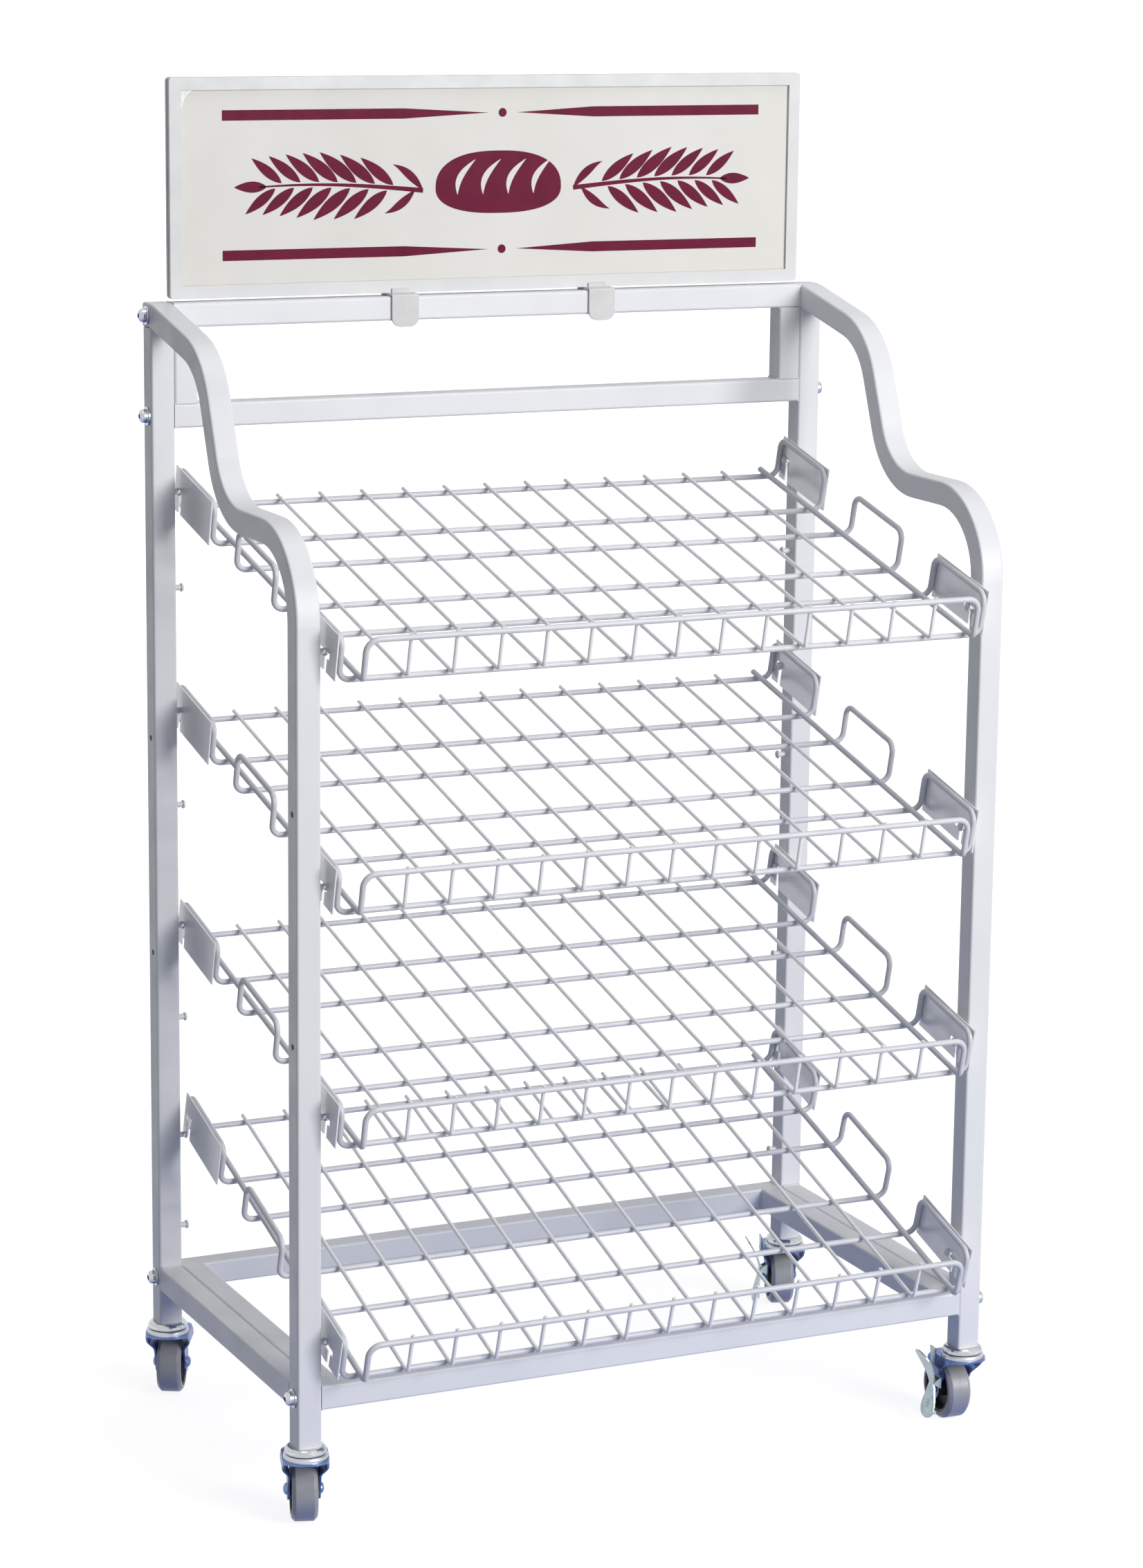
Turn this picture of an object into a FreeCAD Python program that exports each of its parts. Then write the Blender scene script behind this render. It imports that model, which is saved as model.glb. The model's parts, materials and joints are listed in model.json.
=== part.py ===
import FreeCAD, Part
import math
import os
import Sketcher

# Rolling bread rack: two bent square-tube side frames, a bolted base frame and header frame,
# four tilted wire shelves hooked on pegs, four swivel casters and a sign clipped on the header.
# Millimetres and degrees. +X right, -Y front, +Z up, origin on the floor under the middle.

SIZES = [
    ("TubeSide", 25.0, "outside of the square frame tube"),
    ("TubeWall", 1.5, "wall of the square frame tube"),
    ("TubeCorner", 2.5, "outside corner radius of the tube"),
    ("FrameWidth", 770.0, "over the outer faces of the side frames"),
    ("FrameDepth", 428.0, "front of the front posts to back of the rear posts"),
    ("TopRoom", 194.0, "upper rear peg of the top level to the top of the frame"),
    ("BaseRailRise", 37.5, "bottom of the posts to the underside of the base rails"),
    ("HeaderHeight", 127.5, "height of the header frame"),
    ("BendRadius", 80.0, "centreline radius of every bend in an upright"),
    ("TopFlat", 21.0, "back of the upright to its first bend corner"),
    ("TopSlope", 12.5, "fall of the upright's top stretch, degrees"),
    ("NeckAngle", 68.0, "slope of the upright's neck, degrees"),
    ("NeckReach", 221.0, "back of the upright to the foot of its neck"),
    ("ShoulderDrop", 176.0, "centreline of the top to centreline of the shoulder"),
    ("WeldGap", 0.1, "root gap of the weld between a rear post and its upright"),
    ("PegFirst", 104.0, "bottom of the posts to the lowest peg"),
    ("PegPitch", 229.0, "height between shelf levels"),
    ("PegRise", 100.0, "lower rear peg to upper rear peg of one level"),
    ("PegDiameter", 6.0, "stem of a shelf peg"),
    ("PegHeadDiameter", 9.0, "head of a shelf peg"),
    ("PegHeadThick", 3.0, "head of a shelf peg"),
    ("PegHeadEdge", 1.2, "straight edge of a peg head under its dome"),
    ("PegReach", 9.0, "post face to the underside of the peg head"),
    ("SideHoleDiameter", 6.5, "accessory hole in the outer post face"),
    ("SideHoleRise", 73.0, "accessory hole above the lower peg of its level"),
    ("BoltDiameter", 8.0, "frame bolt"),
    ("BoltHeadDiameter", 14.0, "frame bolt head"),
    ("BoltHeadHeight", 5.6, "frame bolt head"),
    ("BoltHeadEdge", 1.7, "straight edge of a bolt head under its dome"),
    ("HexSocket", 5.0, "hexagon socket of a bolt head, across its flats"),
    ("HexDepth", 3.0, "hexagon socket of a bolt head"),
    ("BoltGrip", 40.0, "frame bolt under its head"),
    ("BoltClearance", 0.3, "radial room round a bolt in a tube wall"),
    ("ThreadClearance", 0.05, "radial room round a bolt in its insert"),
    ("WasherDiameter", 19.0, "flat washer"),
    ("WasherThick", 1.6, "flat washer"),
    ("SplitWasherDiameter", 14.8, "split lock washer"),
    ("SplitWasherThick", 2.2, "split lock washer"),
    ("SplitWasherGap", 1.1, "gap in a split lock washer"),
    ("InsertDiameter", 11.0, "threaded insert in the header and base frames"),
    ("InsertFlange", 15.0, "blind flange of the insert inside the tube"),
    ("InsertLength", 14.0, "threaded insert"),
    ("WheelDiameter", 65.0, "caster wheel over the tread"),
    ("TreadWidth", 26.0, "caster wheel"),
    ("TyreThick", 7.0, "tread ring of the wheel"),
    ("AxleDrop", 57.5, "bottom of the posts to the wheel axle"),
    ("CasterTrail", 31.0, "swivel axis to the wheel axle"),
    ("CrownRadius", 22.4, "fork crown of the caster"),
    ("CupRadius", 21.0, "upper raceway cup of the caster"),
    ("CupThick", 3.0, "upper raceway cup at its middle"),
    ("CupDepth", 6.3, "upper raceway cup over its skirt"),
    ("CupWall", 2.0, "skirt of the upper raceway cup"),
    ("BallDiameter", 4.0, "swivel bearing ball"),
    ("BallCircle", 16.0, "radius of the circle of balls"),
    ("SheetThick", 2.2, "caster fork sheet"),
    ("LegHalfWidth", 16.5, "swivel axis to the outside of a fork leg at the axle"),
    ("StemDiameter", 11.0, "caster stem"),
    ("StemLength", 34.0, "caster stem above the bottom of the post"),
    ("KingPinDiameter", 12.0, "swivel pin through the fork crown"),
    ("RunningClearance", 0.05, "radial room in a running fit"),
    ("SocketLength", 40.0, "caster socket inside the post"),
    ("TreadShoulder", 3.6, "bevelled shoulder of the tread"),
    ("TreadRound", 1.8, "rounding of the tread's shoulder"),
    ("HubBoss", 4.5, "wall of the hub's boss"),
    ("HubBossFoot", 0.9, "foot of the boss on the web, beyond the boss"),
    ("HubWeb", 7.0, "web of the hub"),
    ("HubLip", 2.5, "rim of the hub under the tread"),
    ("HubLipFoot", 1.5, "foot of the rim on the web, inside the rim"),
    ("HubInset", 0.8, "rim of the hub inside the tread's side"),
    ("AxleDiameter", 8.0, "wheel axle"),
    ("AxleHeadDiameter", 12.4, "dome heads of the wheel axle"),
    ("AxleHeadHeight", 4.0, "dome heads of the wheel axle"),
    ("BossGap", 0.3, "wheel boss to fork leg"),
    ("ForkSkirt", 5.4, "top of the fork crown to the top plate of the fork"),
    ("ForkKnee", 13.5, "top plate to where the fork begins to narrow"),
    ("ForkAnkle", 19.0, "straight part of the legs above the axle"),
    ("ForkFoot", 11.0, "radius of the foot of a leg round the axle"),
    ("ForkShoulder", 3.2, "round shoulder of the fork crown"),
    ("ForkLedge", 0.8, "top plate of the fork outside its crown"),
    ("ForkTail", 30.0, "swivel axis to the rear edge of the fork's top plate"),
    ("TailCorner", 9.5, "rear plan corners of the fork"),
    ("SkirtCorner", 20.7, "front plan corners of the fork's top plate"),
    ("KneeCorner", 15.0, "front plan corners of the fork at its knee"),
    ("LegCorner", 9.0, "front plan corners of the fork legs"),
    ("ArchCorner", 12.0, "round upper corners of the fork's arch"),
    ("RivetHeight", 3.0, "riveted end of the swivel pin"),
    ("RivetEdge", 0.9, "straight edge of the riveted end"),
    ("StemGroove", 3.0, "height of the snap groove in the caster stem"),
    ("StemGrooveDepth", 1.0, "snap groove in the caster stem"),
    ("StemGrooveDrop", 6.0, "top of the caster stem to its snap groove"),
    ("StemChamfer", 1.5, "chamfer at the top of the caster stem"),
    ("LeverThick", 1.8, "brake lever sheet"),
    ("LeverAhead", 11.0, "brake lever in front of the wheel axle"),
    ("LeverHinge", 46.0, "bottom of the posts to the brake lever's hinge"),
    ("LeverStandOff", 7.0, "fork leg to the waist of the brake lever"),
    ("LeverSpan", 38.0, "hinge to the end of each wing of the brake lever"),
    ("LeverWidth", 40.0, "brake lever across a wing, before its end is rounded"),
    ("LeverWaist", 9.0, "brake lever across its waist"),
    ("LeverFlareUp", 17.0, "upper wing's end outside the waist"),
    ("LeverFlareDown", 7.0, "lower wing's end outside the waist"),
    ("LeverPin", 3.0, "hinge pin of the brake lever"),
    ("LeverKnuckle", 5.6, "outside of the lever's hinge knuckle"),
    ("LeverTabWidth", 5.2, "tab behind the lower wing of the brake lever"),
    ("BracketHeight", 12.0, "brake lever bracket, up and down"),
    ("BracketWidth", 13.0, "brake lever bracket, over its ears"),
    ("BracketThick", 1.5, "ears of the brake lever bracket"),
    ("BracketFlange", 0.8, "flange of the bracket on the fork leg"),
    ("StrapTop", 6.5, "bottom of the posts to the top of the brake's strap on the fork"),
    ("StrapLength", 20.0, "strap of the brake on the fork's side"),
    ("StrapWidth", 12.0, "strap of the brake at its top"),
    ("StrapFoot", 6.0, "strap of the brake at its bottom"),
    ("StrapThick", 1.5, "strap of the brake"),
    ("WireDiameter", 6.0, "shelf loops and rim wire"),
    ("CrossWireDiameter", 4.0, "thin front-to-back shelf wires"),
    ("LoopBend", 11.0, "centreline bend radius of the shelf loops"),
    ("RimBend", 5.0, "centreline bend radius where the rim and cross wires turn up"),
    ("LipBend", 13.0, "centreline corner radius of the front rail"),
    ("HeadGap", 0.5, "hook plate to the peg heads inside it"),
    ("LoopDepth", 105.0, "front to back of a shelf loop"),
    ("FrontLoopBack", 72.2, "first wire of the front loop behind the hooked front peg"),
    ("LoopRise", 43.0, "deck wires to the top of a shelf loop"),
    ("RimInset", 17.5, "sides of the shelf rim inside the end wires of the loops"),
    ("LipAhead", 18.0, "front lip ahead of the front loop"),
    ("LipRise", 47.0, "deck wires to the front rail of the lip"),
    ("RearOverhang", 7.0, "cross wires behind the first deck wire"),
    ("CrossWireTip", 2.0, "thin wires above the middle of the front rail"),
    ("PlateThick", 1.5, "hook plate"),
    ("PlateDepth", 107.0, "hook plate, front to back"),
    ("PlateSetback", 1.0, "back of a hook plate behind its loop, and its bottom below the deck wires"),
    ("SlotWidth", 7.0, "hook slot"),
    ("HookTravel", 7.0, "slide from the hooked place to the slot mouth"),
    ("SeatInset", 9.0, "hooked rear peg in front of the first deck wire"),
    ("RearSeatRise", 21.0, "hooked rear peg above the deck wires"),
    ("FrontSeatRise", 16.2, "front peg above the deck wires"),
    ("PocketBack", 10.9, "front pocket behind the hooked front peg"),
    ("PocketAhead", 9.1, "front pocket in front of the slot"),
    ("SeatGap", 0.3, "room between a peg and its seat"),
    ("PerchInset", 1.8, "rear peg under the hook tip of the lowest shelf"),
    ("SignEndGap", 0.5, "end of the sign inside the end of the header frame"),
    ("SignHeight", 223.0, "sign over its frame"),
    ("SignDepth", 12.0, "sign over both shells"),
    ("SignBorder", 13.0, "visible frame round the sign's window"),
    ("SignCorner", 4.0, "outside corners of the sign frame"),
    ("SignFace", 0.8, "front of the sign behind the middle of the header, towards the front"),
    ("ShellWall", 2.0, "walls and back panel of the sign"),
    ("ShellGroove", 1.0, "groove where the two shells of the sign meet"),
    ("CoverThick", 1.0, "clear cover of the sign"),
    ("CardThick", 0.6, "card in the sign"),
    ("ClipWidth", 30.0, "clip that holds the sign on the header"),
    ("ClipThick", 2.4, "clip that holds the sign on the header"),
    ("ClipReach", 32.0, "front tongue of a clip below its saddle"),
    ("ClipBackShort", 4.0, "back tongue of a clip shorter than its front one"),
    ("ClipCorner", 10.0, "lower corners of the clip tongues"),
    ("ClipBend", 2.0, "outside bend of a clip over the front of the header"),
    ("ClipLipWidth", 20.0, "lip of a clip in front of the sign"),
    ("ClipLipHeight", 4.5, "lip of a clip above the bottom of the sign"),
    ("ClipLipThick", 1.4, "lip of a clip"),
    ("ClipGap", 0.3, "room between the clip and the header rail"),
    ("ClipLeft", 106.5, "left clip from the middle"),
    ("ClipRight", 119.5, "right clip from the middle"),
    ("FrontLeftAngle", -17.6, "front left caster about its swivel axis, degrees"),
    ("FrontRightAngle", -2.0, "front right caster about its swivel, degrees"),
    ("RearLeftAngle", -27.4, "rear left caster about its swivel, degrees"),
    ("RearRightAngle", -18.0, "rear right caster about its swivel, degrees"),
]

SHELF_LEVELS = 4
CROSS_WIRES = 13
LOOPS = 3
DOME_STEPS = 4
HEX_SIDES = 6
LEVER_STEPS = 9
NARROW_STEPS = 4
BROW_STEPS = 8
BALL_COUNT = 14
# The brake lever's tab lies at this share of its lower wing; its sheet flares with the first
# power of the distance from the waist, and the second rounds its ends.
TAB_RATIO = 0.8
FLARE_POWER = 1.5
OUTLINE_POWER = 4
# The front edge of a fork falls from its top plate to its axle along this power of the reach.
BROW_POWER = 2.27
# An edge counts as parallel to an axis above the ratio, and as lying on a face within TOUCHING.
ALIGNED_RATIO = 0.9
TOUCHING = 0.01
# Each caster: side (-1 left, 1 right), end (-1 front, 1 rear), swivel angle, brake lever or not.
CASTERS = {
    "front_left": (-1, -1, "FrontLeftAngle", False),
    "front_right": (1, -1, "FrontRightAngle", True),
    "rear_left": (-1, 1, "RearLeftAngle", False),
    "rear_right": (1, 1, "RearRightAngle", True),
}

doc = FreeCAD.newDocument("BreadRack")
sheet = doc.addObject("Spreadsheet::Sheet", "Sizes")
for row, (alias, value, note) in enumerate(SIZES, start=1):
    sheet.set(f"A{row}", alias)
    sheet.set(f"B{row}", str(value))
    sheet.set(f"C{row}", note)
    sheet.setAlias(f"B{row}", alias)
doc.recompute()


class Dim:
    """A size: its number now, and the spreadsheet expression that gives it."""

    def __init__(self, value, text):
        self.value = float(value)
        self.text = text

    def __add__(self, other):
        other = dim(other)
        return Dim(self.value + other.value, f"({self.text} + {other.text})")

    def __sub__(self, other):
        other = dim(other)
        return Dim(self.value - other.value, f"({self.text} - {other.text})")

    def __mul__(self, other):
        other = dim(other)
        return Dim(self.value * other.value, f"({self.text} * {other.text})")

    def __truediv__(self, other):
        other = dim(other)
        return Dim(self.value / other.value, f"({self.text} / {other.text})")

    def __radd__(self, other):
        return dim(other) + self

    def __rsub__(self, other):
        return dim(other) - self

    def __rmul__(self, other):
        return dim(other) * self

    def __neg__(self):
        return Dim(-self.value, f"(0 - {self.text})")


def dim(size):
    return size if isinstance(size, Dim) else Dim(size, f"({float(size)})")


def cell(alias):
    return Dim(getattr(sheet, alias), f"Sizes.{alias}")


S = {alias: cell(alias) for alias, _, _ in SIZES}
V = {alias: S[alias].value for alias in S}
NODES = {}


def vec(x, y, z):
    return FreeCAD.Vector(x, y, z)


def bind(item, prop, size):
    item.setExpression(prop, dim(size).text)


def place(item, x, y, z, rotation=None):
    """Puts an object at a point whose coordinates stay bound to the sheet."""
    item.Placement = FreeCAD.Placement(vec(0, 0, 0), rotation or FreeCAD.Rotation())
    bind(item, "Placement.Base.x", x)
    bind(item, "Placement.Base.y", y)
    bind(item, "Placement.Base.z", z)


def node(item, label):
    """Marks an object as a finished sub-part with a name of its own."""
    item.Label = label
    NODES[label] = item
    return item


def feature(label, shape, placement=None):
    """A sub-part whose shape is made by Part's own functions."""
    item = doc.addObject("Part::Feature", label)
    item.Shape = shape
    if placement is not None:
        item.Placement = placement
    return node(item, label)


# ---------------------------------------------------------------- sketched bodies

def new_body(name):
    body = doc.addObject("PartDesign::Body", name)
    body.Label = name
    return body


def new_sketch(body, role, name):
    plane = next(item for item in body.Origin.OriginFeatures if item.Role == role)
    sketch = body.newObject("Sketcher::SketchObject", name)
    sketch.AttachmentSupport = (plane, [""])
    sketch.MapMode = "FlatFace"
    return sketch


def outline(sketch, points):
    """Closes a polygon through points whose coordinates are bound to the sheet."""
    corners = [(dim(x), dim(y)) for x, y in points]
    first = sketch.GeometryCount
    count = len(corners)
    for i in range(count):
        a = corners[i]
        b = corners[(i + 1) % count]
        sketch.addGeometry(Part.LineSegment(vec(a[0].value, a[1].value, 0),
                                            vec(b[0].value, b[1].value, 0)), False)
    for i in range(count):
        follower = first + (i + 1) % count
        sketch.addConstraint(Sketcher.Constraint("Coincident", first + i, 2, follower, 1))
    for i, (x, y) in enumerate(corners):
        for kind, size in (("DistanceX", x), ("DistanceY", y)):
            index = sketch.addConstraint(
                Sketcher.Constraint(kind, -1, 1, first + i, 1, size.value))
            sketch.setExpression(f"Constraints[{index}]", size.text)


def rectangle(x0, y0, x1, y1):
    return [(x0, y0), (x1, y0), (x1, y1), (x0, y1)]


def pad(body, sketch, length, name, middle=False):
    solid = body.newObject("PartDesign::Pad", name)
    solid.Profile = sketch
    solid.Midplane = middle
    bind(solid, "Length", length)
    body.Tip = solid
    return solid


def revolve(body, sketch, name):
    """Turns a sketch in the XZ plane once round the Z axis."""
    solid = body.newObject("PartDesign::Revolution", name)
    solid.Profile = sketch
    solid.ReferenceAxis = (sketch, ["V_Axis"])
    solid.Angle = 360
    body.Tip = solid
    return solid


def turned(name, points):
    """A turned body: points are radius and height of its half section."""
    body = new_body(name)
    sketch = new_sketch(body, "XZ_Plane", name + "_section")
    outline(sketch, points)
    revolve(body, sketch, name + "_turn")
    return body


def fillet_edges(body, base, wanted, radius, name):
    """Rounds the edges of a feature for which wanted says yes."""
    doc.recompute()
    names = [f"Edge{i + 1}" for i, edge in enumerate(base.Shape.Edges) if wanted(edge)]
    rounded = body.newObject("PartDesign::Fillet", name)
    rounded.Base = (base, names)
    bind(rounded, "Radius", radius)
    body.Tip = rounded
    return rounded


# ---------------------------------------------------------------- square tube

UPRIGHT = FreeCAD.Rotation()
ALONG_X = FreeCAD.Rotation(vec(0, 0, 1), vec(1, 0, 0))
ALONG_Y = FreeCAD.Rotation(vec(0, 0, 1), vec(0, 1, 0))


def straight_tube(name, length, x, y, z, rotation):
    """Square tube from the middle of its first end, along the rotated Z axis."""
    body = new_body(name)
    half = S["TubeSide"] / 2
    inner = half - S["TubeWall"]
    sketch = new_sketch(body, "XY_Plane", name + "_section")
    outline(sketch, rectangle(-half, -half, half, half))
    outline(sketch, rectangle(-inner, -inner, inner, inner))
    run = pad(body, sketch, length, name + "_run")

    def outer_corner(edge):
        middle = edge.CenterOfMass
        return min(abs(middle.x), abs(middle.y)) > half.value - TOUCHING

    fillet_edges(body, run, outer_corner, S["TubeCorner"], name + "_corners")
    place(body, x, y, z, rotation)
    return body


def bent_path(points, radii):
    """Straight runs joined by tangent arcs; radii gives the radius at each inner point."""
    edges = []
    start = points[0]
    for i, radius in enumerate(radii, start=1):
        before = (points[i - 1] - points[i]).normalize()
        after = (points[i + 1] - points[i]).normalize()
        half_turn = (math.pi - before.getAngle(after)) / 2
        setback = radius * math.tan(half_turn)
        bisector = (before + after).normalize()
        centre = points[i] + bisector * (radius / math.cos(half_turn))
        arc_start = points[i] + before * setback
        arc_end = points[i] + after * setback
        edges.append(Part.LineSegment(start, arc_start).toShape())
        edges.append(Part.Arc(arc_start, centre - bisector * radius, arc_end).toShape())
        start = arc_end
    edges.append(Part.LineSegment(start, points[-1]).toShape())
    return Part.Wire(edges)


def closed_path(points, radius):
    """A closed loop of straight runs and arcs, begun in the middle of its first run."""
    middle = (points[0] + points[1]) * 0.5
    return bent_path([middle] + points[1:] + [points[0], middle], [radius] * len(points))


def swept(path, section):
    """Sweeps a closed section along a path and returns one solid."""
    shell = path.makePipeShell([section], True, True)
    return shell if shell.ShapeType == "Solid" else shell.Solids[0]


def round_section(point, direction, radius):
    return Part.Wire([Part.Circle(point, direction, radius).toShape()])


def round_rod(path, radius):
    first = path.OrderedEdges[0]
    start = first.valueAt(first.FirstParameter)
    return swept(path, round_section(start, first.tangentAt(first.FirstParameter), radius))


def rounded_square(side, corner, centre):
    """Square section in the XZ plane with round corners."""
    half = side / 2
    if corner <= 0:
        corners = [vec(-half, 0, -half), vec(half, 0, -half), vec(half, 0, half), vec(-half, 0, half)]
        return Part.makePolygon([centre + corner for corner in corners + corners[:1]])
    flat = Part.Face(rounded_square(side, 0, centre))
    solid = flat.extrude(vec(0, 1, 0))
    long_edges = [edge for edge in solid.Edges if abs(edge.tangentAt(0).y) > ALIGNED_RATIO]
    rounded = solid.makeFillet(corner, long_edges)
    face = min(rounded.Faces, key=lambda item: item.CenterOfMass.y)
    return face.OuterWire


# ---------------------------------------------------------------- places that pieces share

HALF_TUBE = S["TubeSide"] / 2
POST_BOTTOM = S["AxleDrop"] + S["WheelDiameter"] / 2
POST_HEIGHT = S["PegFirst"] + (SHELF_LEVELS - 1) * S["PegPitch"] + S["PegRise"] + S["TopRoom"]
FRAME_TOP = POST_BOTTOM + POST_HEIGHT
POST_X = S["FrameWidth"] / 2 - HALF_TUBE
INNER_X = S["FrameWidth"] / 2 - S["TubeSide"]
FRONT_Y = -S["FrameDepth"] / 2
REAR_Y = S["FrameDepth"] / 2
FRONT_POST_Y = FRONT_Y + HALF_TUBE
REAR_POST_Y = REAR_Y - HALF_TUBE
BASE_Z = POST_BOTTOM + S["BaseRailRise"] + HALF_TUBE
HEADER_TOP_Z = FRAME_TOP - HALF_TUBE
HEADER_LOW_Z = FRAME_TOP - S["HeaderHeight"] + HALF_TUBE
SIDES = {"left": -1, "right": 1}


def peg_height(level):
    return POST_BOTTOM + S["PegFirst"] + level * S["PegPitch"]


def bolt_places():
    """Side, y and z of the eight frame bolts."""
    spots = [(REAR_POST_Y, HEADER_TOP_Z), (REAR_POST_Y, HEADER_LOW_Z),
             (REAR_POST_Y, BASE_Z), (FRONT_POST_Y, BASE_Z)]
    return [(side, y, z) for side in SIDES.values() for y, z in spots]


def drill_x(label, radius, length, x, y, z):
    """A drill along +X that starts at a point."""
    drill = doc.addObject("Part::Cylinder", label)
    bind(drill, "Radius", radius)
    bind(drill, "Height", length)
    place(drill, x, y, z, ALONG_X)
    return drill


def drilled(label, base, drills):
    """Cuts drills from a piece and names the result."""
    tool = doc.addObject("Part::Compound", label + "_drills")
    tool.Links = drills
    result = doc.addObject("Part::Cut", label)
    result.Base = base
    result.Tool = tool
    return node(result, label)


def joined(label, items):
    """Several separate solids in one named group."""
    group = doc.addObject("Part::Compound", label)
    group.Links = items
    return node(group, label)


def copies(label, master, placements):
    """Copies of one finished shape, each with its own placement."""
    doc.recompute()
    shapes = []
    for placement in placements:
        shape = master.Shape.copy()
        shape.Placement = placement.multiply(master.Shape.Placement)
        shapes.append(shape)
    return feature(label, Part.makeCompound(shapes))


# ---------------------------------------------------------------- side frames

def upright_path():
    """Centreline of a bent upright, from the back of the frame down to its foot."""
    top = vec(0, REAR_Y.value, HEADER_TOP_Z.value)
    crest = top - vec(0, V["TopFlat"], 0)
    shoulder_z = HEADER_TOP_Z.value - V["ShoulderDrop"]
    neck_foot = vec(0, REAR_Y.value - V["NeckReach"], shoulder_z)
    fall = math.tan(math.radians(V["TopSlope"]))
    climb = math.tan(math.radians(V["NeckAngle"]))
    ahead = (crest.z - neck_foot.z - climb * (crest.y - neck_foot.y)) / (fall - climb)
    neck_top = crest - vec(0, ahead, ahead * fall)
    corner = vec(0, FRONT_POST_Y.value, shoulder_z)
    foot = vec(0, FRONT_POST_Y.value, POST_BOTTOM.value)
    points = [top, crest, neck_top, neck_foot, corner, foot]
    return bent_path(points, [V["BendRadius"]] * (len(points) - 2))


def upright_solid(side, corner):
    """Solid bar along the centreline of a bent upright."""
    start = vec(0, REAR_Y.value, HEADER_TOP_Z.value)
    return swept(upright_path(), rounded_square(side, corner, start))


def unnamed(name, shape, x):
    """A shape that another piece is made from or cut with, moved across the rack."""
    item = doc.addObject("Part::Feature", name)
    item.Shape = shape
    item.Placement = FreeCAD.Placement(vec(x.value, 0, 0), FreeCAD.Rotation())
    return item


def bent_upright():
    """The front post that bends back to the top of the rear post, closed at its back end."""
    outer = upright_solid(V["TubeSide"], V["TubeCorner"])
    bore = upright_solid(V["TubeSide"] - 2 * V["TubeWall"], 0)
    cap = Part.makeBox(V["TubeSide"], V["TubeWall"], V["TubeSide"],
                       vec(-HALF_TUBE.value, REAR_Y.value - V["TubeWall"],
                           HEADER_TOP_Z.value - HALF_TUBE.value))
    return outer.cut(bore.cut(cap))


def side_frame(side_name, side):
    """Upright, rear post and side rail of one side, with their bolt and accessory holes."""
    x = side * POST_X
    through = S["BoltDiameter"] / 2 + S["BoltClearance"]
    hole = S["SideHoleDiameter"] / 2
    start = x - HALF_TUBE
    wall_start = start if side < 0 else start + S["TubeSide"] - S["TubeWall"]

    def accessory_holes(label, y):
        return [drill_x(f"{label}_hole_{level}", hole, S["TubeWall"], wall_start, y,
                        peg_height(level) + S["SideHoleRise"]) for level in (1, 2)]

    def bolt_hole(label, y, z):
        return drill_x(label, through, S["TubeSide"], start, y, z)

    label = f"upright_{side_name}"
    upright = unnamed(label + "_tube", bent_upright(), x)
    holes = accessory_holes(label, FRONT_POST_Y)
    holes.append(bolt_hole(label + "_top_hole", REAR_POST_Y, HEADER_TOP_Z))
    holes.append(bolt_hole(label + "_base_hole", FRONT_POST_Y, BASE_Z))
    drilled(label, upright, holes)

    label = f"rear_post_{side_name}"
    post = straight_tube(label + "_tube", POST_HEIGHT - S["TubeSide"],
                         x, REAR_POST_Y, POST_BOTTOM, UPRIGHT)
    holes = accessory_holes(label, REAR_POST_Y)
    holes.append(bolt_hole(label + "_header_hole", REAR_POST_Y, HEADER_LOW_Z))
    holes.append(bolt_hole(label + "_base_hole", REAR_POST_Y, BASE_Z))
    cope = upright_solid(V["TubeSide"] + 2 * V["WeldGap"], V["TubeCorner"])
    holes.append(unnamed(label + "_cope", cope, x))
    drilled(label, post, holes)

    label = f"side_rail_{side_name}"
    node(straight_tube(label, S["FrameDepth"] - 2 * S["TubeSide"],
                       x, FRONT_Y + S["TubeSide"], BASE_Z, ALONG_Y), label)


# ---------------------------------------------------------------- base and header frames

def insert_hole(label, side, y, z):
    """Hole for a threaded insert in the outer wall of the base or header frame."""
    start = INNER_X - S["TubeWall"] if side > 0 else -INNER_X
    return drill_x(label, S["InsertDiameter"] / 2, S["TubeWall"], start, y, z)


def cross_rail(label, y, z):
    """Rail between the side frames, with an insert hole in each closed end."""
    tube = straight_tube(label + "_tube", 2 * INNER_X - 2 * S["TubeWall"],
                         S["TubeWall"] - INNER_X, y, z, ALONG_X)
    ends = [end_plate(f"{label}_end_{name}", side, y, z) for name, side in SIDES.items()]
    welded = doc.addObject("Part::MultiFuse", label + "_welded")
    welded.Shapes = [tube] + ends
    holes = [insert_hole(f"{label}_hole_{name}", side, y, z) for name, side in SIDES.items()]
    drilled(label, welded, holes)


def end_plate(label, side, y, z):
    """Welded cap in the end of a cross rail."""
    plate = doc.addObject("Part::Box", label)
    bind(plate, "Length", S["TubeWall"])
    bind(plate, "Width", S["TubeSide"])
    bind(plate, "Height", S["TubeSide"])
    start = INNER_X - S["TubeWall"] if side > 0 else -INNER_X
    place(plate, start, y - HALF_TUBE, z - HALF_TUBE)
    return plate


def base_and_header():
    cross_rail("base_front_rail", FRONT_POST_Y, BASE_Z)
    cross_rail("base_rear_rail", REAR_POST_Y, BASE_Z)
    cross_rail("header_top_rail", REAR_POST_Y, HEADER_TOP_Z)
    cross_rail("header_bottom_rail", REAR_POST_Y, HEADER_LOW_Z)
    rails = []
    stiles = []
    for name, side in SIDES.items():
        x = side * (INNER_X - HALF_TUBE)
        rails.append(straight_tube(f"base_rail_{name}", S["FrameDepth"] - 2 * S["TubeSide"],
                                   x, FRONT_Y + S["TubeSide"], BASE_Z, ALONG_Y))
        stiles.append(straight_tube(f"header_stile_{name}", S["HeaderHeight"] - 2 * S["TubeSide"],
                                    x, REAR_POST_Y, HEADER_LOW_Z + HALF_TUBE, UPRIGHT))
    joined("base_side_rails", rails)
    joined("header_stiles", stiles)


# ---------------------------------------------------------------- pegs, bolts and washers

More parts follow.
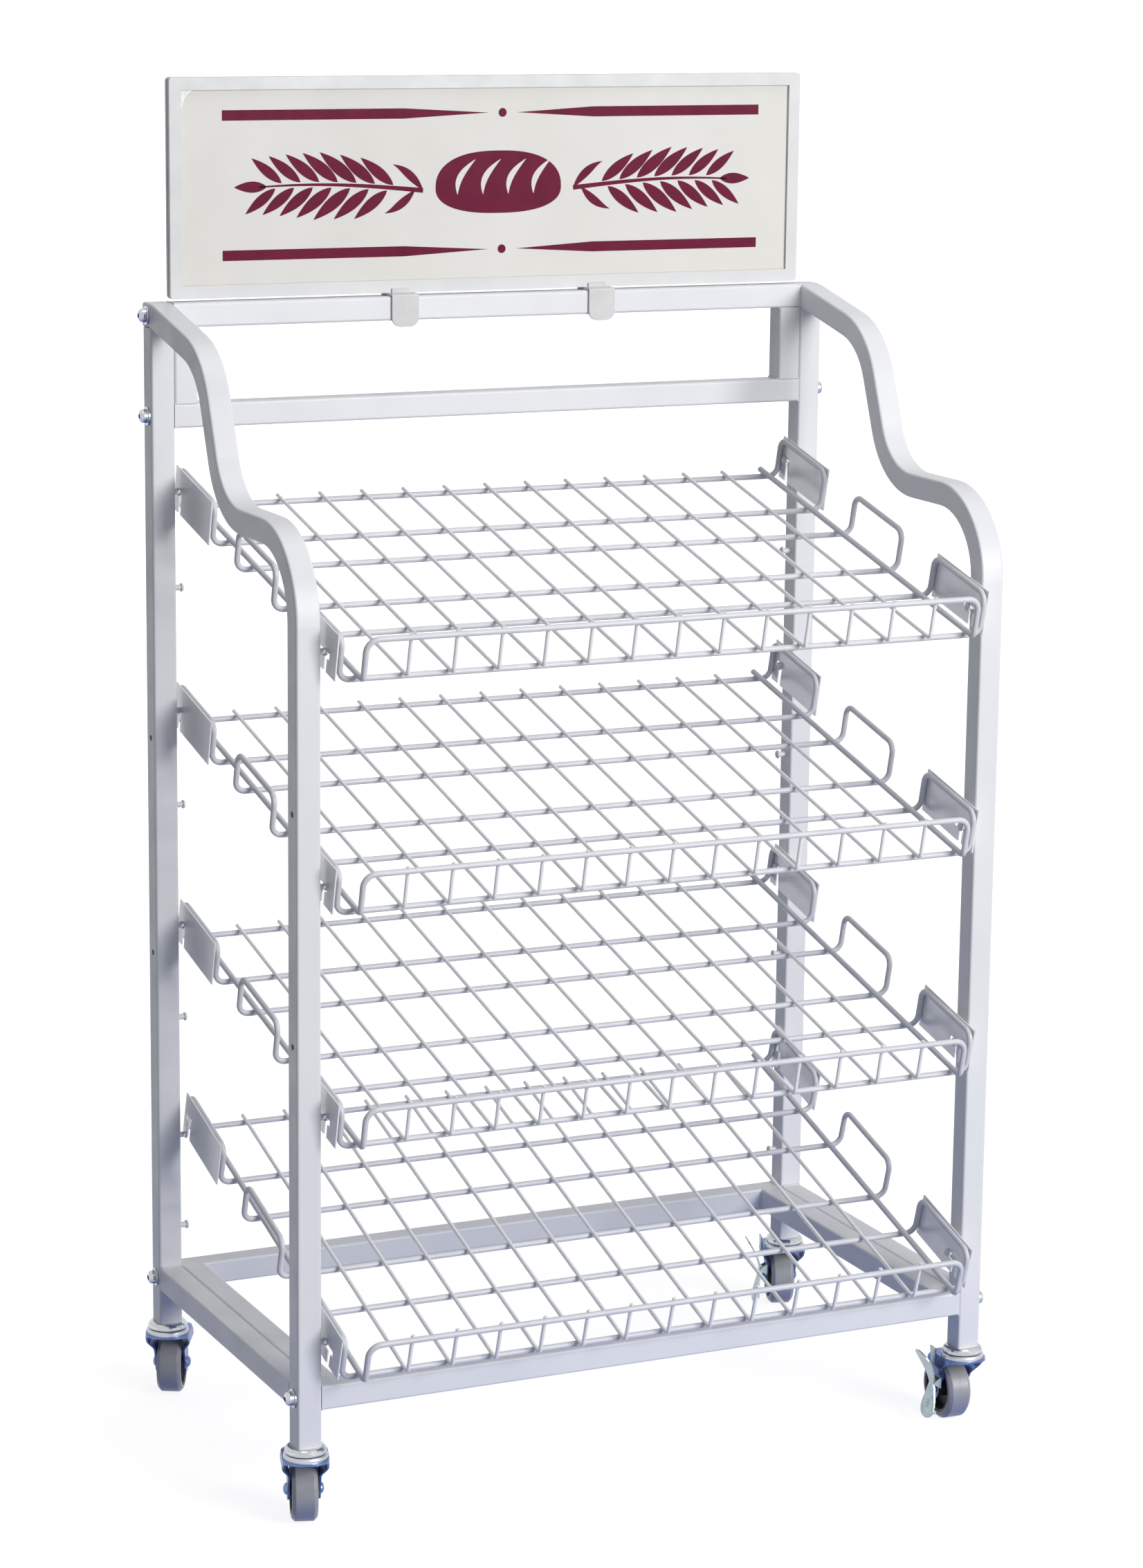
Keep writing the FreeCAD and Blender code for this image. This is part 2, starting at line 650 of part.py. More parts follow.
def dome(radius, base, height):
    """Half section of a domed head, from its rim on the base to its middle."""
    steps = [math.pi / 2 * i / DOME_STEPS for i in range(DOME_STEPS)]
    return [(radius * math.cos(a), base + height * math.sin(a)) for a in steps] + [(0, base + height)]


def peg_master():
    """Headed peg along +Z from the post face, with a domed head."""
    stem = S["PegDiameter"] / 2
    head = S["PegHeadDiameter"] / 2
    reach = S["PegReach"]
    edge = S["PegHeadEdge"]
    domed = dome(head, reach + edge, S["PegHeadThick"] - edge)
    return turned("peg", [(0, 0), (stem, 0), (stem, reach), (head, reach)] + domed)


def facing(side):
    """Turns +Z towards the middle of the rack from one side."""
    return FreeCAD.Rotation(vec(0, 0, 1), vec(-side, 0, 0))


def pegs():
    master = peg_master()
    front = []
    rear = []
    for side in SIDES.values():
        for level in range(SHELF_LEVELS):
            z = peg_height(level).value
            x = side * INNER_X.value
            turn = facing(side)
            front.append(FreeCAD.Placement(vec(x, FRONT_POST_Y.value, z), turn))
            rear.append(FreeCAD.Placement(vec(x, REAR_POST_Y.value, z), turn))
            rear.append(FreeCAD.Placement(vec(x, REAR_POST_Y.value, z + V["PegRise"]), turn))
    copies("front_shelf_pegs", master, front)
    copies("rear_shelf_pegs", master, rear)


def ring(name, outer, inner, thick):
    return turned(name, [(inner, 0), (outer, 0), (outer, thick), (inner, thick)])


def fasteners():
    """Socket-head frame bolts along their own +Z into the rack, with washers and inserts."""
    bolt = S["BoltDiameter"] / 2
    head = S["BoltHeadDiameter"] / 2
    stack = S["WasherThick"] + S["SplitWasherThick"]
    under = -stack
    edge = S["BoltHeadEdge"]
    domed = dome(head, under - edge, edge - S["BoltHeadHeight"])
    bolt_turned = turned("bolt_turned", domed + [
        (0, S["BoltGrip"] + under), (bolt, S["BoltGrip"] + under), (bolt, under), (head, under)])
    socket = doc.addObject("Part::Prism", "hex_socket")
    socket.Polygon = HEX_SIDES
    bind(socket, "Circumradius", S["HexSocket"] / (2 * math.cos(math.pi / HEX_SIDES)))
    bind(socket, "Height", S["HexDepth"])
    place(socket, 0, 0, under - S["BoltHeadHeight"])
    bolt_body = doc.addObject("Part::Cut", "bolt")
    bolt_body.Base = bolt_turned
    bolt_body.Tool = socket
    bore = bolt + S["ThreadClearance"]
    flat = ring("flat_washer", S["WasherDiameter"] / 2, bore, S["WasherThick"])
    lock_ring = ring("lock_ring", S["SplitWasherDiameter"] / 2, bore, S["SplitWasherThick"])
    gap = doc.addObject("Part::Box", "lock_gap")
    bind(gap, "Length", S["SplitWasherDiameter"])
    bind(gap, "Width", S["SplitWasherGap"])
    bind(gap, "Height", 3 * S["SplitWasherThick"])
    place(gap, 0, 0, -S["SplitWasherThick"])
    lock = doc.addObject("Part::Cut", "lock_washer")
    lock.Base = lock_ring
    lock.Tool = gap
    inside = S["TubeWall"]
    insert = turned("insert", [(bore, 0), (S["InsertDiameter"] / 2, 0),
                               (S["InsertDiameter"] / 2, inside), (S["InsertFlange"] / 2, inside),
                               (S["InsertFlange"] / 2, inside + S["TubeWall"]),
                               (S["InsertDiameter"] / 2, inside + S["TubeWall"]),
                               (S["InsertDiameter"] / 2, S["InsertLength"]), (bore, S["InsertLength"])])

    def spots(distance):
        return [FreeCAD.Placement(vec(side * distance, y.value, z.value), facing(side))
                for side, y, z in bolt_places()]

    outer_x = V["FrameWidth"] / 2
    copies("frame_bolts", bolt_body, spots(outer_x))
    copies("flat_washers", flat, spots(outer_x + V["WasherThick"]))
    copies("split_washers", lock, spots(outer_x + stack.value))
    copies("threaded_inserts", insert, spots(INNER_X.value))


# ---------------------------------------------------------------- casters

def caster_placement(key):
    side, end, swivel, _ = CASTERS[key]
    y = FRONT_POST_Y if end < 0 else REAR_POST_Y
    return FreeCAD.Placement(vec(side * POST_X.value, y.value, POST_BOTTOM.value),
                             FreeCAD.Rotation(vec(0, 0, 1), V[swivel]))


def caster_mountings():
    """Sockets in the posts, stems with their swivel pins, raceway cups and balls."""
    upright = [FreeCAD.Placement(caster_placement(key).Base, FreeCAD.Rotation())
               for key in CASTERS]
    stem = S["StemDiameter"] / 2
    pin = S["KingPinDiameter"] / 2
    side = S["TubeSide"] - 2 * S["TubeWall"]
    block = doc.addObject("Part::Box", "socket_block")
    bind(block, "Length", side)
    bind(block, "Width", side)
    bind(block, "Height", S["SocketLength"])
    place(block, -side / 2, -side / 2, 0)
    bore = doc.addObject("Part::Cylinder", "socket_bore")
    bind(bore, "Radius", stem + S["RunningClearance"])
    bind(bore, "Height", S["StemLength"] + S["StemGroove"])
    socket = doc.addObject("Part::Cut", "socket")
    socket.Base = block
    socket.Tool = bore
    copies("caster_sockets", socket, upright)

    race = -(S["CupThick"] + S["BallDiameter"])
    crown_top = race - 2 * S["RunningClearance"]
    under = crown_top - S["SheetThick"] - S["SeatGap"]
    rivet = pin + S["RivetHeight"]
    neck = stem - S["StemGrooveDepth"]
    top = S["StemLength"]
    groove_top = top - S["StemGrooveDrop"]
    groove_low = groove_top - S["StemGroove"]
    chamfer = S["StemChamfer"]
    domed = dome(rivet, under - S["RivetEdge"], S["RivetEdge"] - S["RivetHeight"])
    stem_body = turned("stem", domed[::-1] + [
        (rivet, under), (pin, under), (pin, 0), (stem, 0), (stem, groove_low), (neck, groove_low),
        (neck, groove_top), (stem, groove_top), (stem, top - chamfer), (stem - chamfer, top),
        (0, top)])
    copies("caster_stems", stem_body, upright)

    rim = S["CupRadius"]
    depth = S["CupDepth"]
    thick = S["CupThick"]
    wall = S["CupWall"]
    shoulder = thick + wall
    turn = [math.pi / 2 * i / DOME_STEPS for i in range(DOME_STEPS + 1)]
    rounded = [(rim - shoulder * (1 - math.sin(a)), shoulder * (math.cos(a) - 1)) for a in turn]
    cup = turned("cup", [(pin, 0)] + rounded + [(rim, -depth), (rim - wall, -depth),
                                                (rim - wall, -thick), (pin, -thick)])
    copies("caster_raceway_cups", cup, upright)

    balls = []
    for spot in upright:
        for i in range(BALL_COUNT):
            angle = 2 * math.pi * i / BALL_COUNT
            offset = vec(V["BallCircle"] * math.cos(angle), V["BallCircle"] * math.sin(angle),
                         -V["CupThick"] - V["BallDiameter"] / 2)
            balls.append(Part.makeSphere(V["BallDiameter"] / 2, spot.Base + offset))
    feature("caster_bearing_balls", Part.makeCompound(balls))
    return crown_top.value


def plan_section(half, front, back, front_corner, rear_corner, z):
    """Round-cornered plan of a formed fork at one height."""
    share = 1 - math.sqrt(0.5)
    k = front_corner * share
    n = rear_corner * share
    corners = [((half, back - rear_corner), (half - n, back - n), (half - rear_corner, back)),
               ((rear_corner - half, back), (n - half, back - n), (-half, back - rear_corner)),
               ((-half, front_corner - front), (k - half, k - front), (front_corner - half, -front)),
               ((half - front_corner, -front), (half - k, k - front), (half, front_corner - front))]
    edges = []
    for i, (start, middle, end) in enumerate(corners):
        following = corners[(i + 1) % len(corners)][0]
        edges.append(Part.Arc(vec(*start, z), vec(*middle, z), vec(*end, z)).toShape())
        edges.append(Part.LineSegment(vec(*end, z), vec(*following, z)).toShape())
    return Part.Wire(edges)


def prism(points, across, start, length):
    """Extrudes a polygon; across is X for a side view and Y for a front view."""
    if across == "X":
        corners = [vec(start, a, b) for a, b in points]
        direction = vec(length, 0, 0)
    else:
        corners = [vec(a, start, b) for a, b in points]
        direction = vec(0, length, 0)
    return Part.Face(Part.makePolygon(corners + corners[:1])).extrude(direction)


def fork_heights(crown_top):
    """Heights of the top plate, the knee, the ankle and the foot of a fork."""
    skirt = crown_top - V["ForkSkirt"]
    return skirt, skirt - V["ForkKnee"], V["ForkAnkle"] - V["AxleDrop"], -V["AxleDrop"] - V["ForkFoot"]


def plate_half_width():
    """Half width of a fork's top plate, and of its sides down to the knee."""
    return V["CrownRadius"] + V["ForkLedge"]


def fork_narrowing(knee_z, ankle_z):
    """S curve of a fork's side from knee to ankle: (share of the narrowing, half width, height)."""
    wide = plate_half_width()
    points = []
    for i in range(NARROW_STEPS + 1):
        share = (1 - math.cos(math.pi * i / NARROW_STEPS)) / 2
        half = wide + (V["LegHalfWidth"] - wide) * share
        points.append((share, half, knee_z + (ankle_z - knee_z) * i / NARROW_STEPS))
    return points


def top_plan(inset, z):
    """Plan of a fork's top plate: round in front, longer and squarer behind."""
    half = plate_half_width() - inset
    return plan_section(half, half, V["ForkTail"] - inset, V["SkirtCorner"] - inset,
                        V["TailCorner"] - inset, z)


def fork_bell(crown_top, inset):
    """Solid bell of a fork, its top and walls moved in by the inset; it narrows to the legs."""
    skirt_z, knee_z, ankle_z, foot_z = fork_heights(crown_top)
    front = plate_half_width() - inset
    back = V["CasterTrail"] + V["ForkFoot"] + front - V["LegHalfWidth"]
    tail = V["TailCorner"] - inset
    sections = [top_plan(inset, skirt_z - inset)]
    for share, half, z in fork_narrowing(knee_z, ankle_z):
        corner = V["KneeCorner"] + (V["LegCorner"] - V["KneeCorner"]) * share
        sections.append(plan_section(half - inset, front, back, corner - inset, tail, z))
    sections.append(plan_section(V["LegHalfWidth"] - inset, front, back, V["LegCorner"] - inset, tail,
                                 foot_z - inset))
    spans = [Part.makeLoft(list(pair), True, True) for pair in zip(sections, sections[1:])]
    return spans[0].fuse(spans[1:]).removeSplitter()


def fork_crown(crown_top):
    """Turned race of a fork with its round shoulder, and the opening under it in the top plate."""
    rim = V["CrownRadius"]
    shoulder = V["ForkShoulder"]
    skirt_z = crown_top - V["ForkSkirt"]
    inside = crown_top - V["SheetThick"]
    steps = [math.pi / 2 * i / DOME_STEPS for i in range(DOME_STEPS + 1)]
    rounded = [vec(rim - shoulder * (1 - math.sin(a)), 0, crown_top - shoulder * (1 - math.cos(a)))
               for a in steps]
    inner_edge = rim - shoulder - V["SheetThick"]
    profile = ([vec(0, 0, crown_top)] + rounded
               + [vec(rim, 0, skirt_z), vec(inner_edge, 0, skirt_z), vec(inner_edge, 0, inside),
                  vec(0, 0, inside), vec(0, 0, crown_top)])
    race = Part.Face(Part.makePolygon(profile)).revolve(vec(0, 0, 0), vec(0, 0, 1), 360)
    opening = Part.makeCylinder(inner_edge, 2 * V["SheetThick"],
                                vec(0, 0, skirt_z - 1.5 * V["SheetThick"]))
    return race, opening


def arch_outline(knee_z, ankle_z, top, low):
    """Opening between the legs, seen from the front: round upper corners, straight down to the feet."""
    sheet_thick = V["SheetThick"]
    mouth = plate_half_width() - sheet_thick
    corner = V["ArchCorner"]
    turn = [math.pi / 2 * i / DOME_STEPS for i in range(DOME_STEPS + 1)]
    sides = [(half - sheet_thick, z) for _, half, z in fork_narrowing(knee_z, ankle_z)]
    rounded = [(mouth - corner * (1 - math.cos(a)), top - corner * (1 - math.sin(a))) for a in turn]
    right = [(sides[-1][0], low)] + sides[::-1] + rounded
    return right + [(-x, z) for x, z in reversed(right)]


def fork_shape(crown_top):
    """Formed sheet fork: a round crown on a plate that narrows to two legs at the trailing axle."""
    skirt_z, knee_z, ankle_z, foot_z = fork_heights(crown_top)
    half = plate_half_width()
    trail = V["CasterTrail"]
    axle_z = -V["AxleDrop"]
    foot = V["ForkFoot"]
    sheet_thick = V["SheetThick"]
    wide = 4 * half
    plate_low = skirt_z - sheet_thick
    reach = trail - foot + half
    falls = [i / BROW_STEPS for i in range(BROW_STEPS + 1)]
    brow = [(reach * f - half, plate_low + (axle_z - plate_low) * f ** BROW_POWER) for f in falls]
    side_view = ([(-wide, skirt_z + sheet_thick), (-wide, plate_low)] + brow
                 + [(trail + foot, axle_z),
                    (V["ForkTail"] + sheet_thick / 2, skirt_z + sheet_thick)])
    sole = Part.makeCylinder(foot, wide, vec(-wide / 2, trail, axle_z), vec(1, 0, 0))
    sides = prism(side_view, "X", -wide / 2, wide).fuse(sole)
    shell = fork_bell(crown_top, 0).cut(fork_bell(crown_top, sheet_thick)).common(sides)
    arch = arch_outline(knee_z, ankle_z, plate_low, foot_z - foot)
    race, opening = fork_crown(crown_top)
    legs = shell.cut([prism(arch, "Y", -wide, 2 * wide), opening])
    fork = legs.fuse(race).removeSplitter()
    pin_hole = Part.makeCylinder(V["KingPinDiameter"] / 2 + V["RunningClearance"], half,
                                 vec(0, 0, skirt_z))
    axle_hole = Part.makeCylinder(V["AxleDiameter"] / 2 + V["RunningClearance"], wide,
                                  vec(-wide / 2, trail, axle_z), vec(1, 0, 0))
    return fork.cut([pin_hole, axle_hole])


def wheel_bodies():
    """Axle, tread ring and dished hub, turned about the wheel's own axis."""
    radius = S["WheelDiameter"] / 2
    half = S["TreadWidth"] / 2
    seat = radius - S["TyreThick"]
    side = S["TreadShoulder"]
    tyre = turned("tyre", [(seat, -half), (radius - side, -half), (radius, side - half),
                           (radius, half - side), (radius - side, half), (seat, half)])
    shoulder_z = (half - side).value

    def shoulder(edge):
        at_side = abs(edge.CenterOfMass.z) > shoulder_z - TOUCHING
        return at_side and edge.BoundBox.XMax > seat.value + TOUCHING

    fillet_edges(tyre, tyre.Tip, shoulder, S["TreadRound"], "tyre_shoulders")
    leg = S["LegHalfWidth"]
    bore = S["AxleDiameter"] / 2
    head = S["AxleHeadDiameter"] / 2
    tall = S["AxleHeadHeight"]
    domed = dome(head, leg, tall)
    mirrored = [(r, -height) for r, height in reversed(domed)]
    axle = turned("axle", mirrored + [(bore, -leg), (bore, leg)] + domed)
    boss = leg - S["SheetThick"] - S["BossGap"]
    bore = bore + S["RunningClearance"]
    boss_wall = S["HubBoss"]
    web = S["HubWeb"] / 2
    lip = S["HubLip"]
    rim = half - S["HubInset"]
    quarter = [(bore + boss_wall, boss), (bore + boss_wall + S["HubBossFoot"], web),
               (seat - lip - S["HubLipFoot"], web), (seat - lip, rim), (seat, rim)]
    lower = [(r, -height) for r, height in quarter]
    hub = turned("hub", [(bore, -boss)] + lower + quarter[::-1] + [(bore, boss)])
    return axle, tyre, hub


def lever_outline(across):
    """Half outline of both wings from bottom to top: (across(t), t) with t from -1 to 1."""
    turns = [math.pi / 2 * i / LEVER_STEPS for i in range(-LEVER_STEPS, LEVER_STEPS + 1)]
    return [(across(math.sin(a)), V["LeverSpan"] * math.sin(a)) for a in turns]


def lever_flare(t):
    """How far the lever's sheet stands outside its waist."""
    flare = V["LeverFlareUp"] if t > 0 else V["LeverFlareDown"]
    return flare * abs(t) ** FLARE_POWER


def lever_half_width(t):
    """Half width of the butterfly: narrow at the waist, wide and round at its ends."""
    waist = V["LeverWaist"] / 2
    grown = waist + (V["LeverWidth"] / 2 - waist) * abs(t)
    return grown * math.sqrt(max(0, 1 - abs(t) ** OUTLINE_POWER))


def lever_place():
    """Waist, pin axis and hinge height of a brake lever on the left leg."""
    waist = V["LegHalfWidth"] + V["LeverStandOff"]
    return -waist, -waist + V["LeverPin"] / 2, V["CasterTrail"] - V["LeverAhead"], -V["LeverHinge"]


def lever_shape():
    """Butterfly lever: two wings that flare out from a narrow hinged waist."""
    waist_x, pin_x, y, z = lever_place()
    thick = V["LeverThick"]
    width = V["LeverWidth"]
    inner = [(waist_x - lever_flare(h / V["LeverSpan"]), z + h) for _, h in lever_outline(abs)]
    band = prism(inner + [(x - thick, h) for x, h in reversed(inner)], "Y", y - width, 2 * width)
    front = [(y - w, z + h) for w, h in lever_outline(lever_half_width)]
    rear = [(y + w, z + h) for w, h in lever_outline(lever_half_width)[1:-1]]
    butterfly = prism(front + rear[::-1], "X", waist_x - 2 * width, 3 * width)
    knuckle = Part.makeCylinder(V["LeverKnuckle"] / 2, V["LeverWaist"],
                                vec(pin_x, y - V["LeverWaist"] / 2, z), vec(0, 1, 0))
    tab_y = y - lever_half_width(TAB_RATIO) - V["LeverTabWidth"] / 2
    tab = Part.makeBox(2 * thick, V["LeverTabWidth"], 2 * thick,
                       vec(waist_x - lever_flare(-TAB_RATIO) - thick, tab_y,
                           z - TAB_RATIO * V["LeverSpan"]))
    bore = Part.makeCylinder(V["LeverPin"] / 2 + V["RunningClearance"], width,
                             vec(pin_x, y - width / 2, z), vec(0, 1, 0))
    return band.common(butterfly).fuse([knuckle, tab]).removeSplitter().cut(bore)


def bracket_shape():
    """Bracket on the fork leg with the pin that carries the lever, and the strap above it."""
    _, pin_x, y, z = lever_place()
    leg = V["LegHalfWidth"]
    high = V["BracketHeight"] / 2
    half = V["BracketWidth"] / 2
    ear_thick = V["BracketThick"]
    flange_thick = V["BracketFlange"]
    nose = V["LeverPin"]
    ear = [(-leg, z - high), (-leg, z + high), (pin_x, z + nose), (pin_x - nose, z),
           (pin_x, z - nose)]
    ears = [prism(ear, "Y", start, ear_thick) for start in (y - half, y + half - ear_thick)]
    flange = Part.makeBox(flange_thick, V["BracketWidth"], V["BracketHeight"],
                          vec(-leg - flange_thick, y - half, z - high))
    pin_hole = Part.makeCylinder(V["LeverPin"] / 2, V["BracketWidth"], vec(pin_x, y - half, z),
                                 vec(0, 1, 0))
    bracket = flange.fuse(ears).removeSplitter().cut(pin_hole)
    head = V["StrapWidth"] / 2
    tail = V["StrapFoot"] / 2
    top = -V["StrapTop"]
    bottom = top - V["StrapLength"]
    strap = prism([(y - head, top), (y + head, top), (y + tail, bottom), (y - tail, bottom)], "X",
                  -plate_half_width() - V["StrapThick"], V["StrapThick"])
    return Part.makeCompound([bracket, pin_hole, strap])


def casters(crown_top):
    fork = fork_shape(crown_top)
    axle, tyre, hub = wheel_bodies()
    lever = lever_shape()
    bracket = bracket_shape()
    wheel_turn = FreeCAD.Placement(vec(0, V["CasterTrail"], -V["AxleDrop"]),
                                   FreeCAD.Rotation(vec(0, 0, 1), vec(1, 0, 0)))
    for key, (_, _, _, braked) in CASTERS.items():
        spot = caster_placement(key)
        feature(f"caster_fork_{key}", fork.copy(), spot)
        copies(f"caster_axle_{key}", axle, [spot.multiply(wheel_turn)])
        copies(f"caster_tyre_{key}", tyre, [spot.multiply(wheel_turn)])
        copies(f"caster_hub_{key}", hub, [spot.multiply(wheel_turn)])
        if braked:
            feature(f"brake_lever_{key}", lever.copy(), spot)
            feature(f"brake_bracket_{key}", bracket.copy(), spot)


# ---------------------------------------------------------------- shelves
# Shelf places: x across, s forward from the first deck wire, n up from the deck wires.

def deck_point(x, s, n):
    return vec(x, -s, n)


def plate_face():
    """Middle of the rack to the inner face of a hook plate, which clears the peg heads."""
    return (INNER_X - S["PegReach"] + S["HeadGap"]).value


def loop_half():
    """Middle of the rack to the end wire of a loop, which lies against its hook plate."""
    return plate_face() - V["WireDiameter"] / 2


def rim_half():
    """Middle of the rack to the side wire of the rim."""
    return loop_half() - V["RimInset"]


def front_loop():
    """First deck wire of the shelf to the first deck wire of its front loop."""
    return front_seat() - V["FrontLoopBack"]


def rim_reach():
    """First deck wire of the shelf to its front lip."""
    return front_loop() + V["LoopDepth"] + V["LipAhead"]


def shelf_loop(start):
    """Closed loop of thick wire: two deck wires whose ends turn up and join."""
    half = loop_half()
    end = start + V["LoopDepth"]
    rise = V["LoopRise"]
    corners = [deck_point(-half, start, 0), deck_point(half, start, 0),
               deck_point(half, start, rise), deck_point(half, end, rise),
               deck_point(half, end, 0), deck_point(-half, end, 0),
               deck_point(-half, end, rise), deck_point(-half, start, rise)]
    return round_rod(closed_path(corners, V["LoopBend"]), V["WireDiameter"] / 2)


def rim_wire():
    """Two side wires on top of the loops that turn up and meet in the front rail."""
    half = rim_half()
    level = V["WireDiameter"]
    back = -V["RearOverhang"]
    front = rim_reach()
    lip = V["LipRise"]
    points = [deck_point(-half, back, level), deck_point(-half, front, level),
              deck_point(-half, front, lip), deck_point(half, front, lip),
              deck_point(half, front, level), deck_point(half, back, level)]
    radii = [V["RimBend"], V["LipBend"], V["LipBend"], V["RimBend"]]
    return round_rod(bent_path(points, radii), V["WireDiameter"] / 2)


def cross_wire(x):
    """Thin wire on top of the loops that turns up behind the front rail."""
    radius = V["CrossWireDiameter"] / 2
    level = V["WireDiameter"] / 2 + radius
    front = rim_reach() - V["WireDiameter"] / 2 - radius
    points = [deck_point(x, -V["RearOverhang"], level), deck_point(x, front, level),
              deck_point(x, front, V["LipRise"] + V["CrossWireTip"])]
    return round_rod(bent_path(points, [V["RimBend"]]), radius)


def hook_plate(name, start, slots):
    """Plate on the outside of a loop end; slots is the outline of its lower edge, rear to front."""
    body = new_body(name)
    top = S["LoopRise"] + S["WireDiameter"] / 2
    bottom = -S["PlateSetback"]
    back = start - S["PlateSetback"]
    front = back + S["PlateDepth"]
    points = [(back, bottom)] + slots + [(front, bottom), (front, top), (back, top)]
    sketch = new_sketch(body, "YZ_Plane", name + "_outline")
    outline(sketch, [(-dim(s), n) for s, n in points])
    pad(body, sketch, S["PlateThick"], name + "_sheet")
    return body


def hook_plates():
    """Rear plate with a hooked slot, and front plate with a pocket on both sides of its slot."""
    bottom = -S["PlateSetback"]
    half_slot = S["SlotWidth"] / 2
    rear_mouth = S["SeatInset"] + S["HookTravel"]
    rear_top = S["RearSeatRise"] + S["PegDiameter"] / 2 + S["SeatGap"]
    rear_end = S["SeatInset"] - S["PegDiameter"] / 2 - S["SeatGap"]
    rear_floor = rear_top - S["SlotWidth"]
    rear = hook_plate("rear_hook", dim(0), [
        (rear_mouth - half_slot, bottom), (rear_mouth - half_slot, rear_floor),
        (rear_end, rear_floor), (rear_end, rear_top),
        (rear_mouth + half_slot, rear_top), (rear_mouth + half_slot, bottom)])
    front_mouth = front_seat() + V["HookTravel"]
    front_top = S["FrontSeatRise"] + S["PegDiameter"] / 2 + S["SeatGap"]
    front_floor = front_top - S["SlotWidth"]
    pocket_back = front_seat() - V["PocketBack"]
    pocket_front = front_mouth + V["PocketAhead"]
    front = hook_plate("front_hook", dim(front_loop()), [
        (front_mouth - half_slot, bottom), (front_mouth - half_slot, front_floor),
        (pocket_back, front_floor), (pocket_back, front_top),
        (pocket_front, front_top), (pocket_front, front_floor),
        (front_mouth + half_slot, front_floor), (front_mouth + half_slot, bottom)])
    return rear, front


def peg_span():
    """Straight distance and slope from a front peg to the upper rear peg."""
    run = REAR_POST_Y.value - FRONT_POST_Y.value
    return math.hypot(run, V["PegRise"]), math.atan2(V["PegRise"], run)


def front_seat():
    """Hooked front peg in front of the first deck wire."""
    distance, _ = peg_span()
    rise = V["RearSeatRise"] - V["FrontSeatRise"]
    return V["SeatInset"] + math.sqrt(distance ** 2 - rise ** 2)


def shelf_placement(level, inset, rear_rise):
    """Puts a shelf on its pegs: inset and rear_rise are the upper rear peg's place on the shelf."""
    distance, slope = peg_span()
    tilt = slope - math.asin((rear_rise - V["FrontSeatRise"]) / distance)
    peg_y = REAR_POST_Y.value
    peg_z = peg_height(level).value + V["PegRise"]
    y = peg_y + inset * math.cos(tilt) + rear_rise * math.sin(tilt)
    z = peg_z + inset * math.sin(tilt) - rear_rise * math.cos(tilt)
    return FreeCAD.Placement(vec(0, y, z), FreeCAD.Rotation(vec(1, 0, 0), math.degrees(tilt)))


def shelves():
    """Four shelves from the top: hooked, at the slot mouth, hooked, and perched on its rear pegs."""
    perch_rise = -V["PlateSetback"] - V["PegDiameter"] / 2 - V["SeatGap"]
    seats = [(V["SeatInset"], V["RearSeatRise"]),
             (V["SeatInset"] + V["HookTravel"], V["RearSeatRise"]),
             (V["SeatInset"], V["RearSeatRise"]),
             (V["PerchInset"], perch_rise)]
    pitch = front_loop() / (LOOPS - 1)
    carrier = Part.makeCompound([shelf_loop(i * pitch) for i in range(LOOPS)] + [rim_wire()])
    spacing = 2 * rim_half() / (CROSS_WIRES + 1)
    wires = Part.makeCompound([cross_wire(spacing * (i + 1) - rim_half())
                               for i in range(CROSS_WIRES)])
    rear, front = hook_plates()
    doc.recompute()
    plates = []
    for master in (rear, front):
        for x in (plate_face(), -plate_face() - V["PlateThick"]):
            plate = master.Shape.copy()
            plate.translate(vec(x, 0, 0))
            plates.append(plate)
    hooks = Part.makeCompound(plates)
    for i, (inset, rise) in enumerate(seats):
        spot = shelf_placement(SHELF_LEVELS - 1 - i, inset, rise)
        feature(f"shelf_{i + 1}_carrier_wires", carrier.copy(), spot)
        feature(f"shelf_{i + 1}_cross_wires", wires.copy(), spot)
        feature(f"shelf_{i + 1}_hook_plates", hooks.copy(), spot)


# ---------------------------------------------------------------- sign

def panel(name, width, height, x, z, start, thick):
    """Flat body in the XZ plane from its front face backwards."""
    body = new_body(name)
    sketch = new_sketch(body, "XZ_Plane", name + "_outline")
    outline(sketch, rectangle(x, z, x + width, z + height))
    sheet_pad = pad(body, sketch, thick, name + "_sheet")
    sheet_pad.Reversed = True
    place(body, 0, start, 0)
    return body


def framed(name, width, height, x, z, border, start, thick, corner):
    """Flat frame with a window and round outside corners."""
    body = new_body(name)
    sketch = new_sketch(body, "XZ_Plane", name + "_outline")
    outline(sketch, rectangle(x, z, x + width, z + height))
    outline(sketch, rectangle(x + border, z + border, x + width - border, z + height - border))
    sheet_pad = pad(body, sketch, thick, name + "_sheet")
    sheet_pad.Reversed = True
    left = x.value
    right = (x + width).value

    def corner_edge(edge):
        middle = edge.CenterOfMass
        along_y = abs(edge.tangentAt(edge.FirstParameter).y) > ALIGNED_RATIO
        return along_y and min(abs(middle.x - left), abs(middle.x - right)) < TOUCHING

    fillet_edges(body, sheet_pad, corner_edge, corner, name + "_corners")
    place(body, 0, start, 0)
    return body


def fused(label, items):
    result = doc.addObject("Part::MultiFuse", label)
    result.Shapes = items
    return node(result, label)


def sign_front():
    """Depth of the sign's front face."""
    return REAR_POST_Y - S["SignFace"]


